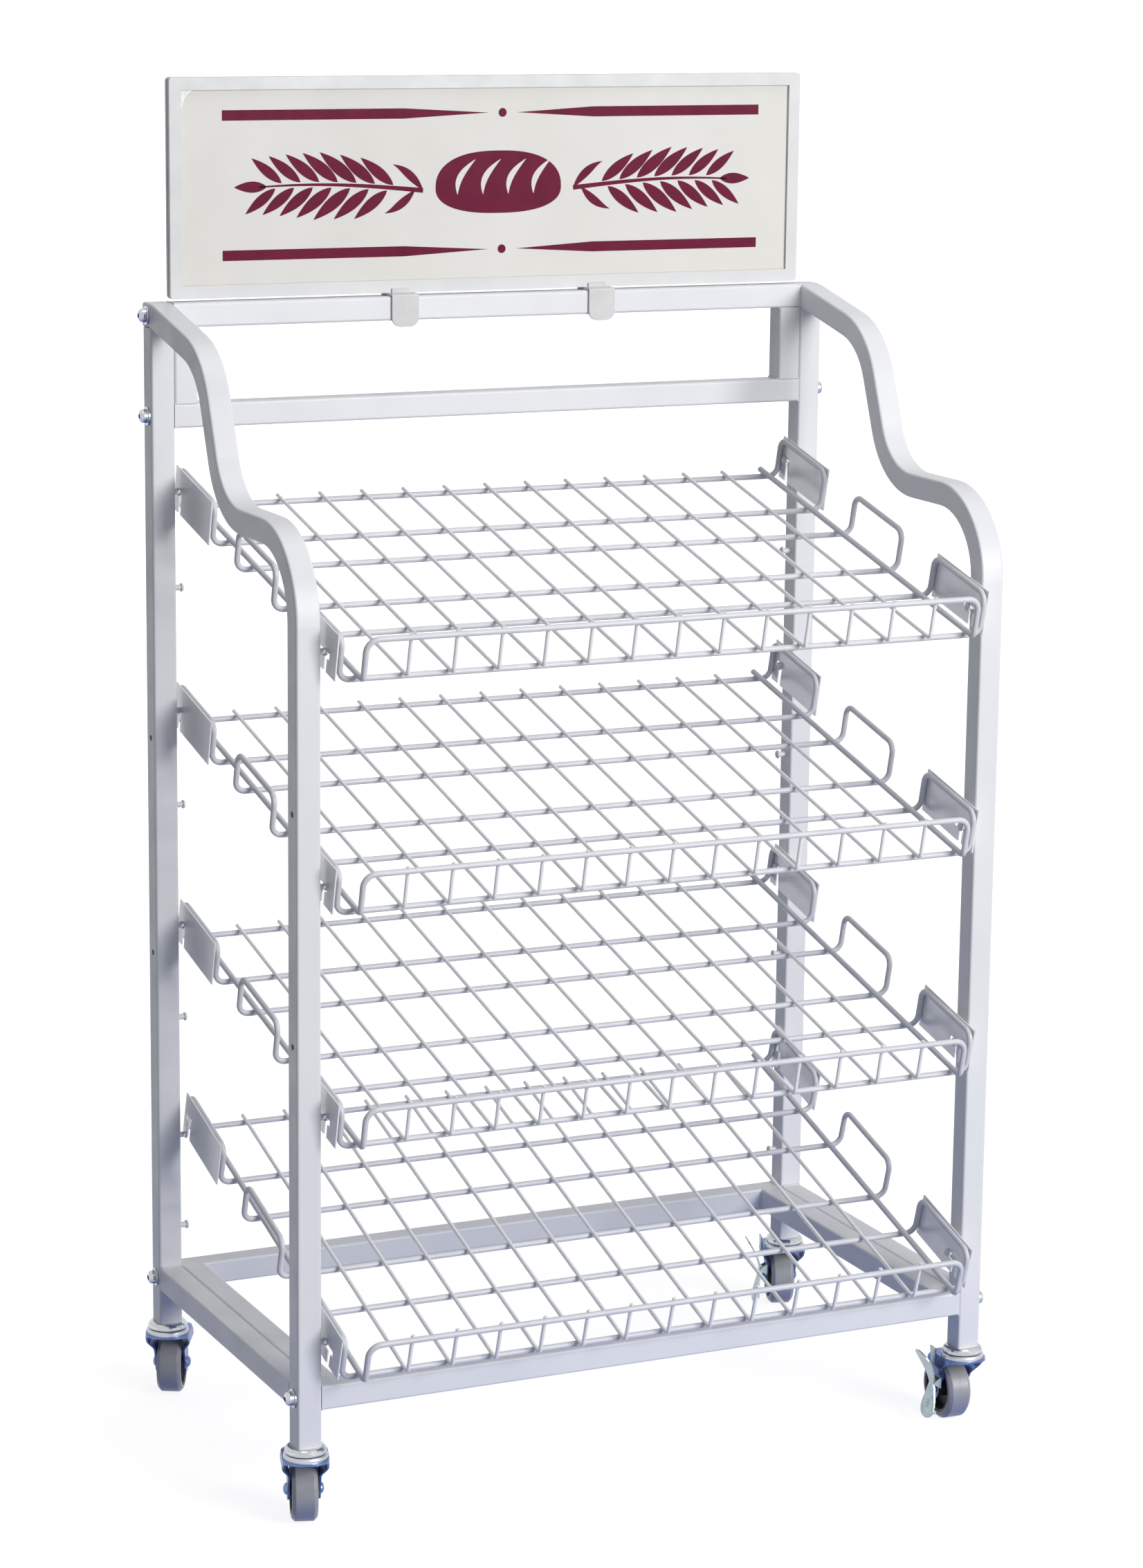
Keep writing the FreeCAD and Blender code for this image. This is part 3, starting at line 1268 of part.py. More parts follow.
def sign():
    """Two-shell frame round a card with a clear cover, standing on two clips."""
    width = 2 * (INNER_X - S["SignEndGap"])
    height = S["SignHeight"]
    x = -width / 2
    z = FRAME_TOP + S["ClipGap"] + S["ClipThick"]
    front = sign_front()
    wall = S["ShellWall"]
    half = S["SignDepth"] / 2
    groove = S["ShellGroove"]

    lip = framed("bezel_lip", width, height, x, z, S["SignBorder"], front, wall, S["SignCorner"])
    skirt = framed("bezel_skirt", width, height, x, z, wall, front, half - groove, S["SignCorner"])
    fused("sign_bezel", [lip, skirt])
    inner_width = width - 2 * wall
    inner_height = height - 2 * wall
    layer = front + wall
    node(panel("sign_cover", inner_width, inner_height, x + wall, z + wall, layer, S["CoverThick"]),
         "sign_cover")
    layer = layer + S["CoverThick"]
    node(panel("sign_card", inner_width, inner_height, x + wall, z + wall, layer, S["CardThick"]),
         "sign_card")
    layer = layer + S["CardThick"]
    filler = front + S["SignDepth"] - wall - layer
    pack = framed("back_frame", inner_width, inner_height, x + wall, z + wall,
                  S["SignBorder"] - wall, layer, filler, S["SignCorner"] / 2)
    edge = framed("back_edge", width, height, x, z, wall + groove,
                  front + half + groove, half - groove, S["SignCorner"])
    back = framed("back_panel_edge", width, height, x, z, S["SignBorder"],
                  front + S["SignDepth"] - wall, wall, S["SignCorner"])
    plate = panel("back_plate", width - 2 * S["SignBorder"], height - 2 * S["SignBorder"],
                  x + S["SignBorder"], z + S["SignBorder"], front + S["SignDepth"] - wall, wall)
    fused("sign_back", [pack, edge, back, plate])

    clips = []
    for name, place_x in (("left", -S["ClipLeft"]), ("right", S["ClipRight"])):
        clips.append(clip(name, place_x))
    joined("sign_clips", clips)


def clip(name, x):
    """Saddle over the header top rail, a tongue down its front and its back, and a lip for the sign."""
    body = new_body(f"clip_{name}_saddle")
    sketch = new_sketch(body, "YZ_Plane", f"clip_{name}_section")
    gap = S["ClipGap"]
    thick = S["ClipThick"]
    inside = FRAME_TOP + gap
    low = inside - S["ClipReach"]
    back_low = low + S["ClipBackShort"]
    front = REAR_Y - S["TubeSide"] - gap
    rear = REAR_Y + gap
    outline(sketch, [(front - thick, low), (front, low), (front, inside), (rear, inside),
                     (rear, back_low), (rear + thick, back_low), (rear + thick, inside + thick),
                     (front - thick, inside + thick)])
    saddle = pad(body, sketch, S["ClipWidth"], f"clip_{name}_run", middle=True)

    def tongue_corner(edge):
        along_y = abs(edge.tangentAt(edge.FirstParameter).y) > ALIGNED_RATIO
        return along_y and edge.CenterOfMass.z < back_low.value + TOUCHING

    def front_bend(edge):
        middle = edge.CenterOfMass
        outside = abs(middle.y - (front - thick).value) < TOUCHING
        return outside and abs(middle.z - (inside + thick).value) < TOUCHING

    rounded = fillet_edges(body, saddle, tongue_corner, S["ClipCorner"], f"clip_{name}_corners")
    fillet_edges(body, rounded, front_bend, S["ClipBend"], f"clip_{name}_bend")
    place(body, x, 0, 0)

    lip = doc.addObject("Part::Box", f"clip_{name}_lip")
    bind(lip, "Length", S["ClipLipWidth"])
    bind(lip, "Width", S["ClipLipThick"])
    bind(lip, "Height", thick + S["ClipLipHeight"])
    place(lip, x - S["ClipLipWidth"] / 2, sign_front() - gap - S["ClipLipThick"], inside)
    whole = doc.addObject("Part::MultiFuse", f"clip_{name}")
    whole.Shapes = [body, lip]
    return whole


# ---------------------------------------------------------------- build, check and export

for side_name, side in SIDES.items():
    side_frame(side_name, side)
base_and_header()
pegs()
fasteners()
casters(caster_mountings())
shelves()
sign()
doc.recompute()

for item in doc.Objects:
    if "Invalid" in item.State or "Error" in item.State:
        raise RuntimeError(f"{item.Label} failed: {item.State}")
for label, item in NODES.items():
    if item.Shape.isNull() or not item.Shape.isValid() or not item.Shape.Solids:
        raise RuntimeError(f"{label} has no valid solid")

os.makedirs("parts", exist_ok=True)
for label, item in NODES.items():
    item.Shape.exportStep(os.path.join("parts", f"{label}.step"))
    box = item.Shape.BoundBox
    print(f"{label}: {len(item.Shape.Solids)} solids, {item.Shape.Volume:.0f} mm3, "
          f"x {box.XMin:.1f}..{box.XMax:.1f} y {box.YMin:.1f}..{box.YMax:.1f} z {box.ZMin:.1f}..{box.ZMax:.1f}")
print(f"{len(NODES)} nodes")
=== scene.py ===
"""Bakery bread rack: finishes, printed sign, weld details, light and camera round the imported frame."""

import json
import math
import random

import bmesh
import bpy
from mathutils import Matrix, Vector
from mathutils.bvhtree import BVHTree


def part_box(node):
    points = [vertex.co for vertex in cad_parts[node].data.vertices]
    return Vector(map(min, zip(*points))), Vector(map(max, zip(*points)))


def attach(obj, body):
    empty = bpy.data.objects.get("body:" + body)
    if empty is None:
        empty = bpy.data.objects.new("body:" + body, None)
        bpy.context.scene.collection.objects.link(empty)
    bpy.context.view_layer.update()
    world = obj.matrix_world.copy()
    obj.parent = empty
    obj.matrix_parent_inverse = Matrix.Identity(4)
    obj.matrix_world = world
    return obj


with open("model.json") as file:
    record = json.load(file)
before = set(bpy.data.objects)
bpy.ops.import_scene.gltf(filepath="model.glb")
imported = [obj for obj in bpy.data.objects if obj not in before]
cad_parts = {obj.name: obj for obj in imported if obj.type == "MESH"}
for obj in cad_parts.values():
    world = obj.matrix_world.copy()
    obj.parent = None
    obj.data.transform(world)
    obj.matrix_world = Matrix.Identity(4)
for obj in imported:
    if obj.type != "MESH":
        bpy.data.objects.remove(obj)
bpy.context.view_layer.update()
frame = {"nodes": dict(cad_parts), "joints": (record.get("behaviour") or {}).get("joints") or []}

MM = 0.001
NODES = frame["nodes"]
JOINTS = {joint["name"]: joint for joint in frame["joints"]}
LEFT_AND_RIGHT = (-1, 1)
SHELF_LEVELS = (1, 2, 3, 4)
CASTERS = ("front_left", "front_right", "rear_left", "rear_right")
BRAKED = ("front_right", "rear_right")
CUP_TO_PLATE = 6.1 * MM  # from a raceway cup's lower edge down to its fork's flat top
FORK_PLATE_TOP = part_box("caster_raceway_cups")[0].z - CUP_TO_PLATE

# ---------------------------------------------------------------- materials
NOISE_BAND = (0.3, 0.7)  # most of a noise texture's values lie between these
LEVEL_BLUR = 0.1 * MM  # half the height over which a tone changes at a level
RELIEF_HEIGHT = 0.2 * MM
EDGE_SAMPLES = 4
SPECK_CORE = 0.6  # share of a speck's size within which it has its full tone
ROUGHNESS_FINER = 3  # the roughness varies this many times faster than the tone


def srgb(code):
    """Linear colour of a six-digit sRGB code."""
    values = [int(code[i:i + 2], 16) / 255 for i in (0, 2, 4)]
    return (*[v / 12.92 if v <= 0.04045 else ((v + 0.055) / 1.055) ** 2.4 for v in values], 1.0)


class Tree:
    """A material's or world's node tree, emptied and then filled one node at a time."""

    def __init__(self, owner):
        owner.use_nodes = True
        self.tree = owner.node_tree
        self.tree.nodes.clear()

    def add(self, kind, inputs=None, **settings):
        """A new shader node; an input is a plain value or another node's output."""
        node = self.tree.nodes.new("ShaderNode" + kind)
        for key, value in settings.items():
            setattr(node, key, value)
        for key, value in (inputs or {}).items():
            if isinstance(value, bpy.types.NodeSocket):
                self.tree.links.new(value, node.inputs[key])
            else:
                node.inputs[key].default_value = value
        return node

    def place(self, scale=(1, 1, 1)):
        """Object coordinates, stretched by scale."""
        coords = self.add("TexCoord")
        return self.add("Mapping", {"Vector": coords.outputs["Object"], "Scale": scale}).outputs[0]

    def noise(self, scale, low, high, detail=3, stretch=(1, 1, 1)):
        """Noise of that many waves in a metre, spread over low to high."""
        noise = self.add("TexNoise", {"Vector": self.place(stretch), "Scale": scale, "Detail": detail})
        return self.spread(noise.outputs["Fac"], *NOISE_BAND, low, high)

    def spread(self, value, from_low, from_high, low, high):
        """The value, stretched from one range to another and held within it."""
        ranged = self.add("MapRange", {"Value": value, "From Min": from_low, "From Max": from_high,
                                       "To Min": low, "To Max": high})
        return ranged.outputs["Result"]

    def blend(self, factor, first, second):
        """The first colour where the factor is 0 and the second where it is 1."""
        mixed = self.add("Mix", {0: factor, 6: first, 7: second}, data_type="RGBA")
        return mixed.outputs[2]


def surface(name, colour, deep, mottle, rough, grain, relief, shade_and_reflection_below=None, tilt=(0.25, -0.85), edge=0,
            specks=None, above=None, stretch=(1, 1, 1), **plain):
    """A finish: two close tones that vary over the surface, varying roughness and a fine relief.

    The tone for what faces down is painted shade, and on chrome a painted reflection of the
    bluish floor; it comes in over the normal's heights in tilt. edge is the radius in mm to which
    sharp edges are softened, specks a (scale, size, tone) of small dots, and above a (height over
    the floor in m, tone) of what lies higher. plain holds the shader's other inputs.
    """
    material = bpy.data.materials.new(name)
    tree = Tree(material)
    tone = tree.blend(tree.noise(mottle, 0, 1, stretch=stretch), colour, deep)
    # Painted shade: what faces down takes a darker, bluer tone, standing in for shade and, on chrome, for
    # the bluish floor's reflection.
    if shade_and_reflection_below:
        geometry = tree.add("NewGeometry")
        facing = tree.add("SeparateXYZ", {0: geometry.outputs["Normal"]}).outputs["Z"]
        tone = tree.blend(tree.spread(facing, *tilt, 0, 1), tone, shade_and_reflection_below)
    if above:
        level, high_tone = above
        place = tree.add("SeparateXYZ", {0: tree.add("TexCoord").outputs["Object"]})
        tone = tree.blend(tree.spread(place.outputs["Z"], level - LEVEL_BLUR, level + LEVEL_BLUR, 0, 1),
                          tone, high_tone)
    height = tree.noise(grain, 0, 1, detail=2, stretch=stretch)
    if specks:
        scale, size, speck_tone = specks
        cells = tree.add("TexVoronoi", {"Vector": tree.place(), "Scale": scale, "Randomness": 1.0})
        dots = tree.spread(cells.outputs["Distance"], size, size * SPECK_CORE, 0, 1)
        tone = tree.blend(dots, tone, speck_tone)
        height = tree.add("Math", {0: height, 1: dots}, operation="SUBTRACT").outputs[0]
    bump = {"Strength": relief, "Distance": RELIEF_HEIGHT, "Height": height}
    if edge:
        bump["Normal"] = tree.add("Bevel", {"Radius": edge * MM}, samples=EDGE_SAMPLES).outputs[0]
    shader = tree.add("BsdfPrincipled", {
        "Base Color": tone, "Roughness": tree.noise(mottle * ROUGHNESS_FINER, *rough),
        "Normal": tree.add("Bump", bump).outputs[0], **plain})
    tree.add("OutputMaterial", {"Surface": shader.outputs[0]})
    return material


WIRE = dict(mottle=30, rough=(0.34, 0.46), grain=700, relief=0.1)
GLOSSY = {"Specular IOR Level": 1.0, "Coat Weight": 1.0, "Coat Roughness": 0.25}

frame_paint = surface("powder_coat", colour=srgb("e1e2e5"), deep=srgb("dbdce0"), mottle=9,
                      rough=(0.34, 0.46), grain=520, relief=0.12, stretch=(1, 1, 0.6))
weld_paint = surface("powder_coat_welds", colour=srgb("dadbdf"), deep=srgb("cbccd1"), mottle=220,
                     rough=(0.38, 0.55), grain=900, relief=0.35)
# Painted light and shade: the carrier and cross wires share one white coat. The carriers get a darker copy
# and the cross wires a lighter, glossier copy, standing in for the key light that falls strongly on the
# carriers and little on the cross wires.
wire_painted_shade = surface("wire_coat_painted_shade", colour=srgb("d6d7dc"), deep=srgb("cdced4"), **WIRE)
wire_painted_light = surface("wire_coat_painted_light", colour=srgb("ebebed"), deep=srgb("e2e2e5"), **WIRE, **GLOSSY)
# Painted light: the hook plates share the wires' white coat; this lighter, glossier copy stands in for the
# light that falls on their shaded outer faces.
plate_painted_light = surface("plate_coat_painted_light", colour=srgb("ecedf0"), deep=srgb("e2e3e7"), mottle=24,
                      rough=(0.3, 0.42), grain=600, relief=0.14, edge=0.4, **GLOSSY)
sign_plastic = surface("sign_frame_plastic", colour=srgb("d4d5d5"), deep=srgb("cecfd0"), mottle=14,
                       rough=(0.34, 0.46), grain=900, relief=0.08, edge=0.5)
clip_plastic = surface("clip_plastic", colour=srgb("cacaca"), deep=srgb("c1c1c2"), mottle=40,
                       rough=(0.28, 0.4), grain=800, relief=0.1, edge=0.5)
card = surface("card_stock", colour=srgb("e3e1dc"), deep=srgb("dedcd6"), mottle=7,
               rough=(0.62, 0.75), grain=1500, relief=0.2)
ink = surface("maroon_ink", colour=srgb("701437"), deep=srgb("651031"), mottle=45,
              rough=(0.5, 0.62), grain=1500, relief=0.15, **{"Specular IOR Level": 0.06})
cover = surface("clear_film", colour=srgb("dfe3e3"), deep=srgb("d8dcdc"), mottle=5,
                rough=(0.1, 0.16), grain=60, relief=0.05, Alpha=0.012)
# Painted highlight: the lifted corner of the clear film is real, but its glare is drawn as a near-white,
# 60% opaque patch.
film_curl_painted_glare = surface("lifted_film_painted_glare", colour=srgb("fbfbfb"), deep=srgb("f2f3f3"), mottle=120,
                    rough=(0.2, 0.3), grain=300, relief=0.2, Alpha=0.6)
# Painted shade: the navy on what faces down stands in for the shade inside and under the forks; the silver
# above the fork plate is the raceway ring's own chrome colour.
blue_zinc = surface("blue_zinc", colour=srgb("7d92c4"), deep=srgb("667eb8"), mottle=55,
                    rough=(0.26, 0.38), grain=420, relief=0.12, shade_and_reflection_below=srgb("2f4789"),
                    tilt=(0.5, -0.6), edge=0.5, above=(FORK_PLATE_TOP, srgb("c4c7ca")), Metallic=0.85)
# Painted shade: the darker blue on what faces down stands in for the shade under the axle heads.
axle_zinc = surface("axle_zinc", colour=srgb("8294bd"), deep=srgb("6a7eae"), mottle=55,
                    rough=(0.22, 0.32), grain=420, relief=0.12, shade_and_reflection_below=srgb("3a5190"), Metallic=0.9)
bright_zinc = surface("bright_zinc", colour=srgb("b9c6ca"), deep=srgb("9fb0b8"), mottle=90,
                      rough=(0.28, 0.38), grain=500, relief=0.1, edge=0.4, Metallic=0.85)
inner_zinc = surface("dull_zinc", colour=srgb("aab0ba"), deep=srgb("8d95a2"), mottle=120,
                     rough=(0.3, 0.42), grain=700, relief=0.1, Metallic=0.95)
# Painted reflection: the blue on what faces down stands in for the bluish floor reflected in the chrome.
chrome = surface("chrome", colour=srgb("cfd1d3"), deep=srgb("b9bcc0"), mottle=60,
                 rough=(0.1, 0.18), grain=350, relief=0.06, shade_and_reflection_below=srgb("5d74a8"), Metallic=1.0)
# Painted shade: the blue-grey on what faces down stands in for the shade under the tread; the specks are
# the tread's own.
rubber = surface("grey_tread", colour=srgb("a0a1a4"), deep=srgb("96979b"), mottle=60,
                 rough=(0.3, 0.4), grain=900, relief=0.08, shade_and_reflection_below=srgb("6a75a2"), tilt=(0.1, -0.95),
                 specks=(190, 0.1, srgb("b5a79f")))
hub_plastic = surface("dark_hub", colour=srgb("16171e"), deep=srgb("101117"), mottle=80,
                      rough=(0.45, 0.6), grain=700, relief=0.2)

# Each finish with the starts of the names of the CAD nodes that have it.
FINISH = {
    frame_paint: ("upright_", "rear_post_", "side_rail_", "base_", "header_", "front_shelf_pegs",
                  "rear_shelf_pegs"),
    # The carriers take the darker copy of the wire coat (painted shade) and the cross wires the lighter
    # copy (painted light).
    wire_painted_shade: tuple(f"shelf_{level}_carrier_wires" for level in SHELF_LEVELS),
    wire_painted_light: tuple(f"shelf_{level}_cross_wires" for level in SHELF_LEVELS),
    # The hook plates take a lighter copy of the coat that paints in light.
    plate_painted_light: tuple(f"shelf_{level}_hook_plates" for level in SHELF_LEVELS),
    chrome: ("frame_bolts", "flat_washers", "split_washers", "caster_raceway_cups"),
    inner_zinc: ("threaded_inserts", "caster_sockets", "caster_stems", "caster_bearing_balls"),
    blue_zinc: ("caster_fork_",),
    axle_zinc: ("caster_axle_",),
    bright_zinc: ("brake_",),
    rubber: ("caster_tyre_",),
    hub_plastic: ("caster_hub_",),
    sign_plastic: ("sign_bezel", "sign_back"),
    clip_plastic: ("sign_clips",),
    card: ("sign_card",),
    cover: ("sign_cover",),
}
for finish, starts in FINISH.items():
    for name, node in NODES.items():
        if name.startswith(starts):
            for slot in node.material_slots:
                slot.material = finish


# ---------------------------------------------------------------- making pieces
def piece(name, shape, finish, body, smooth=True):
    """A mesh piece, from (vertices, faces) in the frame's metres, that rides on a body."""
    vertices, faces = shape
    mesh = bpy.data.meshes.new(name)
    mesh.from_pydata([tuple(v) for v in vertices], [], faces)
    mesh.validate()
    work = bmesh.new()
    work.from_mesh(mesh)
    bmesh.ops.recalc_face_normals(work, faces=work.faces)
    work.to_mesh(mesh)
    work.free()
    mesh.polygons.foreach_set("use_smooth", [smooth] * len(mesh.polygons))
    obj = bpy.data.objects.new(name, mesh)
    bpy.context.scene.collection.objects.link(obj)
    mesh.materials.append(finish)
    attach(obj, body)


def join(parts):
    """Vertices and faces of several (vertices, faces) in one list each."""
    vertices, faces = [], []
    for more_vertices, more_faces in parts:
        start = len(vertices)
        vertices += more_vertices
        faces += [tuple(i + start for i in face) for face in more_faces]
    return vertices, faces


def turns(count):
    """That many angles, spread evenly round a circle."""
    return [math.tau * k / count for k in range(count)]


def shares(steps):
    """The numbers from 0 to 1 in that many equal steps."""
    return [i / steps for i in range(steps + 1)]


def tube(path, radii, sides, across):
    """A closed round bar along path, with one radius a point; across is a normal to the path."""
    rings = []
    for i, point in enumerate(path):
        ahead = path[min(i + 1, len(path) - 1)] - path[max(i - 1, 0)]
        first = across.cross(ahead).normalized()
        second = ahead.cross(first).normalized()
        for turn in turns(sides):
            rings.append(point + (first * math.cos(turn) + second * math.sin(turn)) * radii[i])
    faces = [(i * sides + k, i * sides + (k + 1) % sides,
              (i + 1) * sides + (k + 1) % sides, (i + 1) * sides + k)
             for i in range(len(path) - 1) for k in range(sides)]
    faces.append(tuple(range(sides)))
    faces.append(tuple(range(len(rings) - sides, len(rings))))
    return rings, faces


def ball(sides=10, stacks=6):
    """Unit ball as vertices and faces."""
    vertices = [Vector((0, 0, 1))]
    for i in range(1, stacks):
        fall = math.pi * i / stacks
        for turn in turns(sides):
            vertices.append(Vector((math.sin(fall) * math.cos(turn),
                                    math.sin(fall) * math.sin(turn), math.cos(fall))))
    vertices.append(Vector((0, 0, -1)))
    last = len(vertices) - 1
    faces = [(0, 1 + k, 1 + (k + 1) % sides) for k in range(sides)]
    for i in range(stacks - 2):
        a, b = 1 + i * sides, 1 + (i + 1) * sides
        faces += [(a + k, b + k, b + (k + 1) % sides, a + (k + 1) % sides) for k in range(sides)]
    a = last - sides
    faces += [(a + k, last, a + (k + 1) % sides) for k in range(sides)]
    return vertices, faces


# ---------------------------------------------------------------- welds of the tubes
BEAD_RADIUS = 1.7 * MM
BEAD_SIDES = 8
BEAD_INSET = 1.5 * MM  # from a bead's end to the tube's edge
BEAD_END = 0.12  # size of a bead's two ends, as a share of its radius
BEAD_TAPER = 6  # how many times faster than a half wave a bead swells from its ends
BEAD_UNEVEN = (0.95, 1.05)
LEAST_BEAD_STEPS = 8
RIPPLE = 1.7 * MM
RIPPLE_DEPTH = 0.13
RIPPLE_STEPS = 4
BEAD_SEED = 4


def bead(start, end, rng, across):
    """A rippled weld bead from start to end, tapered at both ends."""
    length = (end - start).length
    steps = max(LEAST_BEAD_STEPS, int(length / RIPPLE) * RIPPLE_STEPS)
    path, radii = [], []
    for t in shares(steps):
        taper = min(1.0, math.sin(math.pi * t) * BEAD_TAPER) ** 0.5 if 0 < t < 1 else BEAD_END
        wave = 1 + RIPPLE_DEPTH * math.cos(math.tau * t * length / RIPPLE)
        radii.append(BEAD_RADIUS * taper * wave * rng.uniform(*BEAD_UNEVEN))
        path.append(start.lerp(end, t))
    return tube(path, radii, BEAD_SIDES, across)


def frame_welds():
    """Fillet beads in the inside corners where the square tubes meet."""
    rng = random.Random(BEAD_SEED)
    rail_low, rail_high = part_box("side_rail_right")
    stile_low, stile_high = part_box("header_stiles")
    side_low, side_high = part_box("base_side_rails")
    tube_side = rail_high.x - rail_low.x
    parts = []

    def add(start, end, across):
        parts.append(bead(Vector(start), Vector(end), rng, Vector(across)))

    for side in LEFT_AND_RIGHT:
        inner, outer = side * (rail_low.x + BEAD_INSET), side * (rail_high.x - BEAD_INSET)
        for y in (rail_low.y, rail_high.y):
            for z in (rail_low.z, rail_high.z):
                add((inner, y, z), (outer, y, z), (0, 1, 0))
        x = side * (rail_low.x - tube_side)
        for y in (side_low.y, side_high.y):
            add((x, y, side_low.z + BEAD_INSET), (x, y, side_high.z - BEAD_INSET), (0, 1, 0))
        for z in (stile_low.z, stile_high.z):
            add((x, stile_low.y + BEAD_INSET, z), (x, stile_high.y - BEAD_INSET, z), (0, 0, 1))
    piece("frame_weld_beads", join(parts), weld_paint, "frame")


# ---------------------------------------------------------------- welds of the shelves, in mm
# Each shelf's deck: y and z of its first wire crossing, and its slope in degrees.
SHELF_DECKS = {1: (215.081, 962.627, 13.273), 2: (221.894, 735.235, 13.273),
               3: (215.081, 504.627, 13.273), 4: (201.983, 298.636, 16.766)}
LOOPS = 3
LOOP_PITCH = 175.997
LOOP_DEPTH = 105.0
CROSS_WIRES = 13
CROSS_PITCH = 47.286
CROSSING_UP = 3.0  # from the middle of the loop wires to where the cross wires touch them
RIM_SIDE = 331.0
LIP_AHEAD = 472.0
LIP_UP = 47.0
PLATE_FACE = 353.0
DIMPLE_SINK = 0.25
DIMPLE_PLACES = ((2.0, 24), (2.0, 8), (103, 24), (103, 8), (30, 43), (76, 43))
# Half sizes across the rack, down the slope and up from the deck.
CROSS_NUGGET = (1.9, 2.6, 0.9)
RIM_NUGGET = (2.9, 2.9, 1.4)
LIP_NUGGET = (2.1, 1.2, 2.7)
PLATE_DIMPLE = (0.42, 2.1, 2.1)
NUGGET_UNEVEN = (0.9, 1.15)
NUGGET_SEED = 10


def deck_frame(level):
    """Matrix from (x, ahead from the first deck wire, up from the deck) in mm to the frame."""
    y, z, angle = SHELF_DECKS[level]
    turn = math.radians(angle)
    return Matrix(((MM, 0, 0, 0),
                   (0, -math.cos(turn) * MM, -math.sin(turn) * MM, y * MM),
                   (0, -math.sin(turn) * MM, math.cos(turn) * MM, z * MM),
                   (0, 0, 0, 1)))


def shelf_welds(level):
    """Fused nuggets at the wire crossings, and the dimples of the hook plates' spot welds."""
    rng = random.Random(NUGGET_SEED + level)
    place = deck_frame(level)
    unit_vertices, unit_faces = ball()
    parts = []

    def nugget(x, ahead, up, size):
        sizes = [s * rng.uniform(*NUGGET_UNEVEN) for s in size]
        parts.append(([place @ Vector((x + v.x * sizes[0], ahead + v.y * sizes[1],
                                       up + v.z * sizes[2])) for v in unit_vertices], unit_faces))

    loops = [i * LOOP_PITCH + step for i in range(LOOPS) for step in (0, LOOP_DEPTH)]
    crossings = [-RIM_SIDE + CROSS_PITCH * i for i in range(1, CROSS_WIRES + 1)]
    for ahead in loops:
        for x in crossings:
            nugget(x, ahead, CROSSING_UP, CROSS_NUGGET)
        for side in LEFT_AND_RIGHT:
            nugget(side * RIM_SIDE, ahead, CROSSING_UP, RIM_NUGGET)
    for x in crossings:
        nugget(x, LIP_AHEAD, LIP_UP, LIP_NUGGET)
    for side in LEFT_AND_RIGHT:
        for start in (loops[0], loops[-2]):
            for ahead, up in DIMPLE_PLACES:
                nugget(side * (PLATE_FACE - DIMPLE_SINK), start + ahead, up, PLATE_DIMPLE)
    # The weld nuggets take the lighter copy of the wire coat, which paints in light.
    piece(f"shelf_{level}_weld_nuggets", join(parts), wire_painted_light, f"shelf_{level}")


# ---------------------------------------------------------------- print of the sign, in mm
# Places are (x, height over the sign's lower edge), and depths lie in front of the card.
SIGN_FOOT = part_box("sign_bezel")[0].z
CARD_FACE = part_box("sign_card")[0].y
SHEET_DEPTH = 0.06
INK_DEPTH = 0.14
CUT_DEPTH = 0.24
SHEET_THICK = 0.04
INK_THICK = 0.06
SHEET_MARGIN = 1
LAYERS = 5
LAYER_STEP = 0.006

RULE_HEIGHTS = (184.3, 42.5)
RULE_HALF = 5.3
LEFT_RULE = (-302, -102, -5.6)  # x of the outer end, of the taper's start and of the point
RIGHT_RULE = (311, 114.5, 26)
DOT_X = 9.9
DOT_RADIUS = 4.6
DOT_SIDES = 28

PRINT_X = 6.0
PRINT_UP = 113.0

LOAF_HALF = 72
LOAF_RISE = 38
LOAF_FALL = 27
LOAF_DROP = 6
LOAF_END_POWER = 0.8
LOAF_TOP_POWER = 0.86
LOAF_STEPS = 72

CUTS = 4
CUT_PITCH = 29
CUT_START = (-47, -13)  # of the first cut, from the middle of the print
CUT_REACH = (20, 36)
CUT_BOW = 7
CUT_STEPS = 16
CUT_POINT = 0.4
CUT_WIDTH = 6.2

EAR_START = 86
EAR_LENGTH = 182
EAR_DROP = 8
EAR_ARCH = 8
EAR_BEND = 2.2
EAR_STEPS = 30
STALK_WIDTH = 5.0
STALK_TAPER = 3.4
GRAIN_PAIRS = 7
GRAIN_FIRST = 0.2  # share of the ear at which its first pair of grains stands
GRAIN_SPAN = 0.68
GRAIN_LENGTH = 52
GRAIN_WIDTH = 13.2
GRAIN_SHRINK = 0.34
LARGEST_PAIR = 2
GRAIN_ANGLE = 38
GRAIN_STANDS = {1: -3.0, -1: 4.0}  # how far up the ear an upper and a lower grain stand
GRAIN_OFF_STALK = 2.6
GRAIN_STEPS = 12
GRAIN_POWERS = (0.85, 0.9)
TIP_AT = 0.98
TIP_BACK = 5
TIP_LENGTH = 36
TIP_WIDTH = 11.5
LEAVES = ((0.8, 0.0), (-0.7, 0.05))  # each leaf's lean, and the share of the ear where it grows
LEAF_REACH = 34
LEAF_RISE = 54
LEAF_DROOP = 20
LEAF_STEPS = 20
LEAF_POINT = 0.4
LEAF_WIDTH = 8.5
LEAF_POWERS = (0.8, 1.2)

CURL_CORNER = (-346.2, 213.4)
CURL_LOW = (-346.2, 191.0)
CURL_RIGHT = (-326.5, 213.4)
CURL_BOW = 3.2
CURL_STEPS = 16
CURL_DEPTH = 0.12
CURL_THICK = 0.08


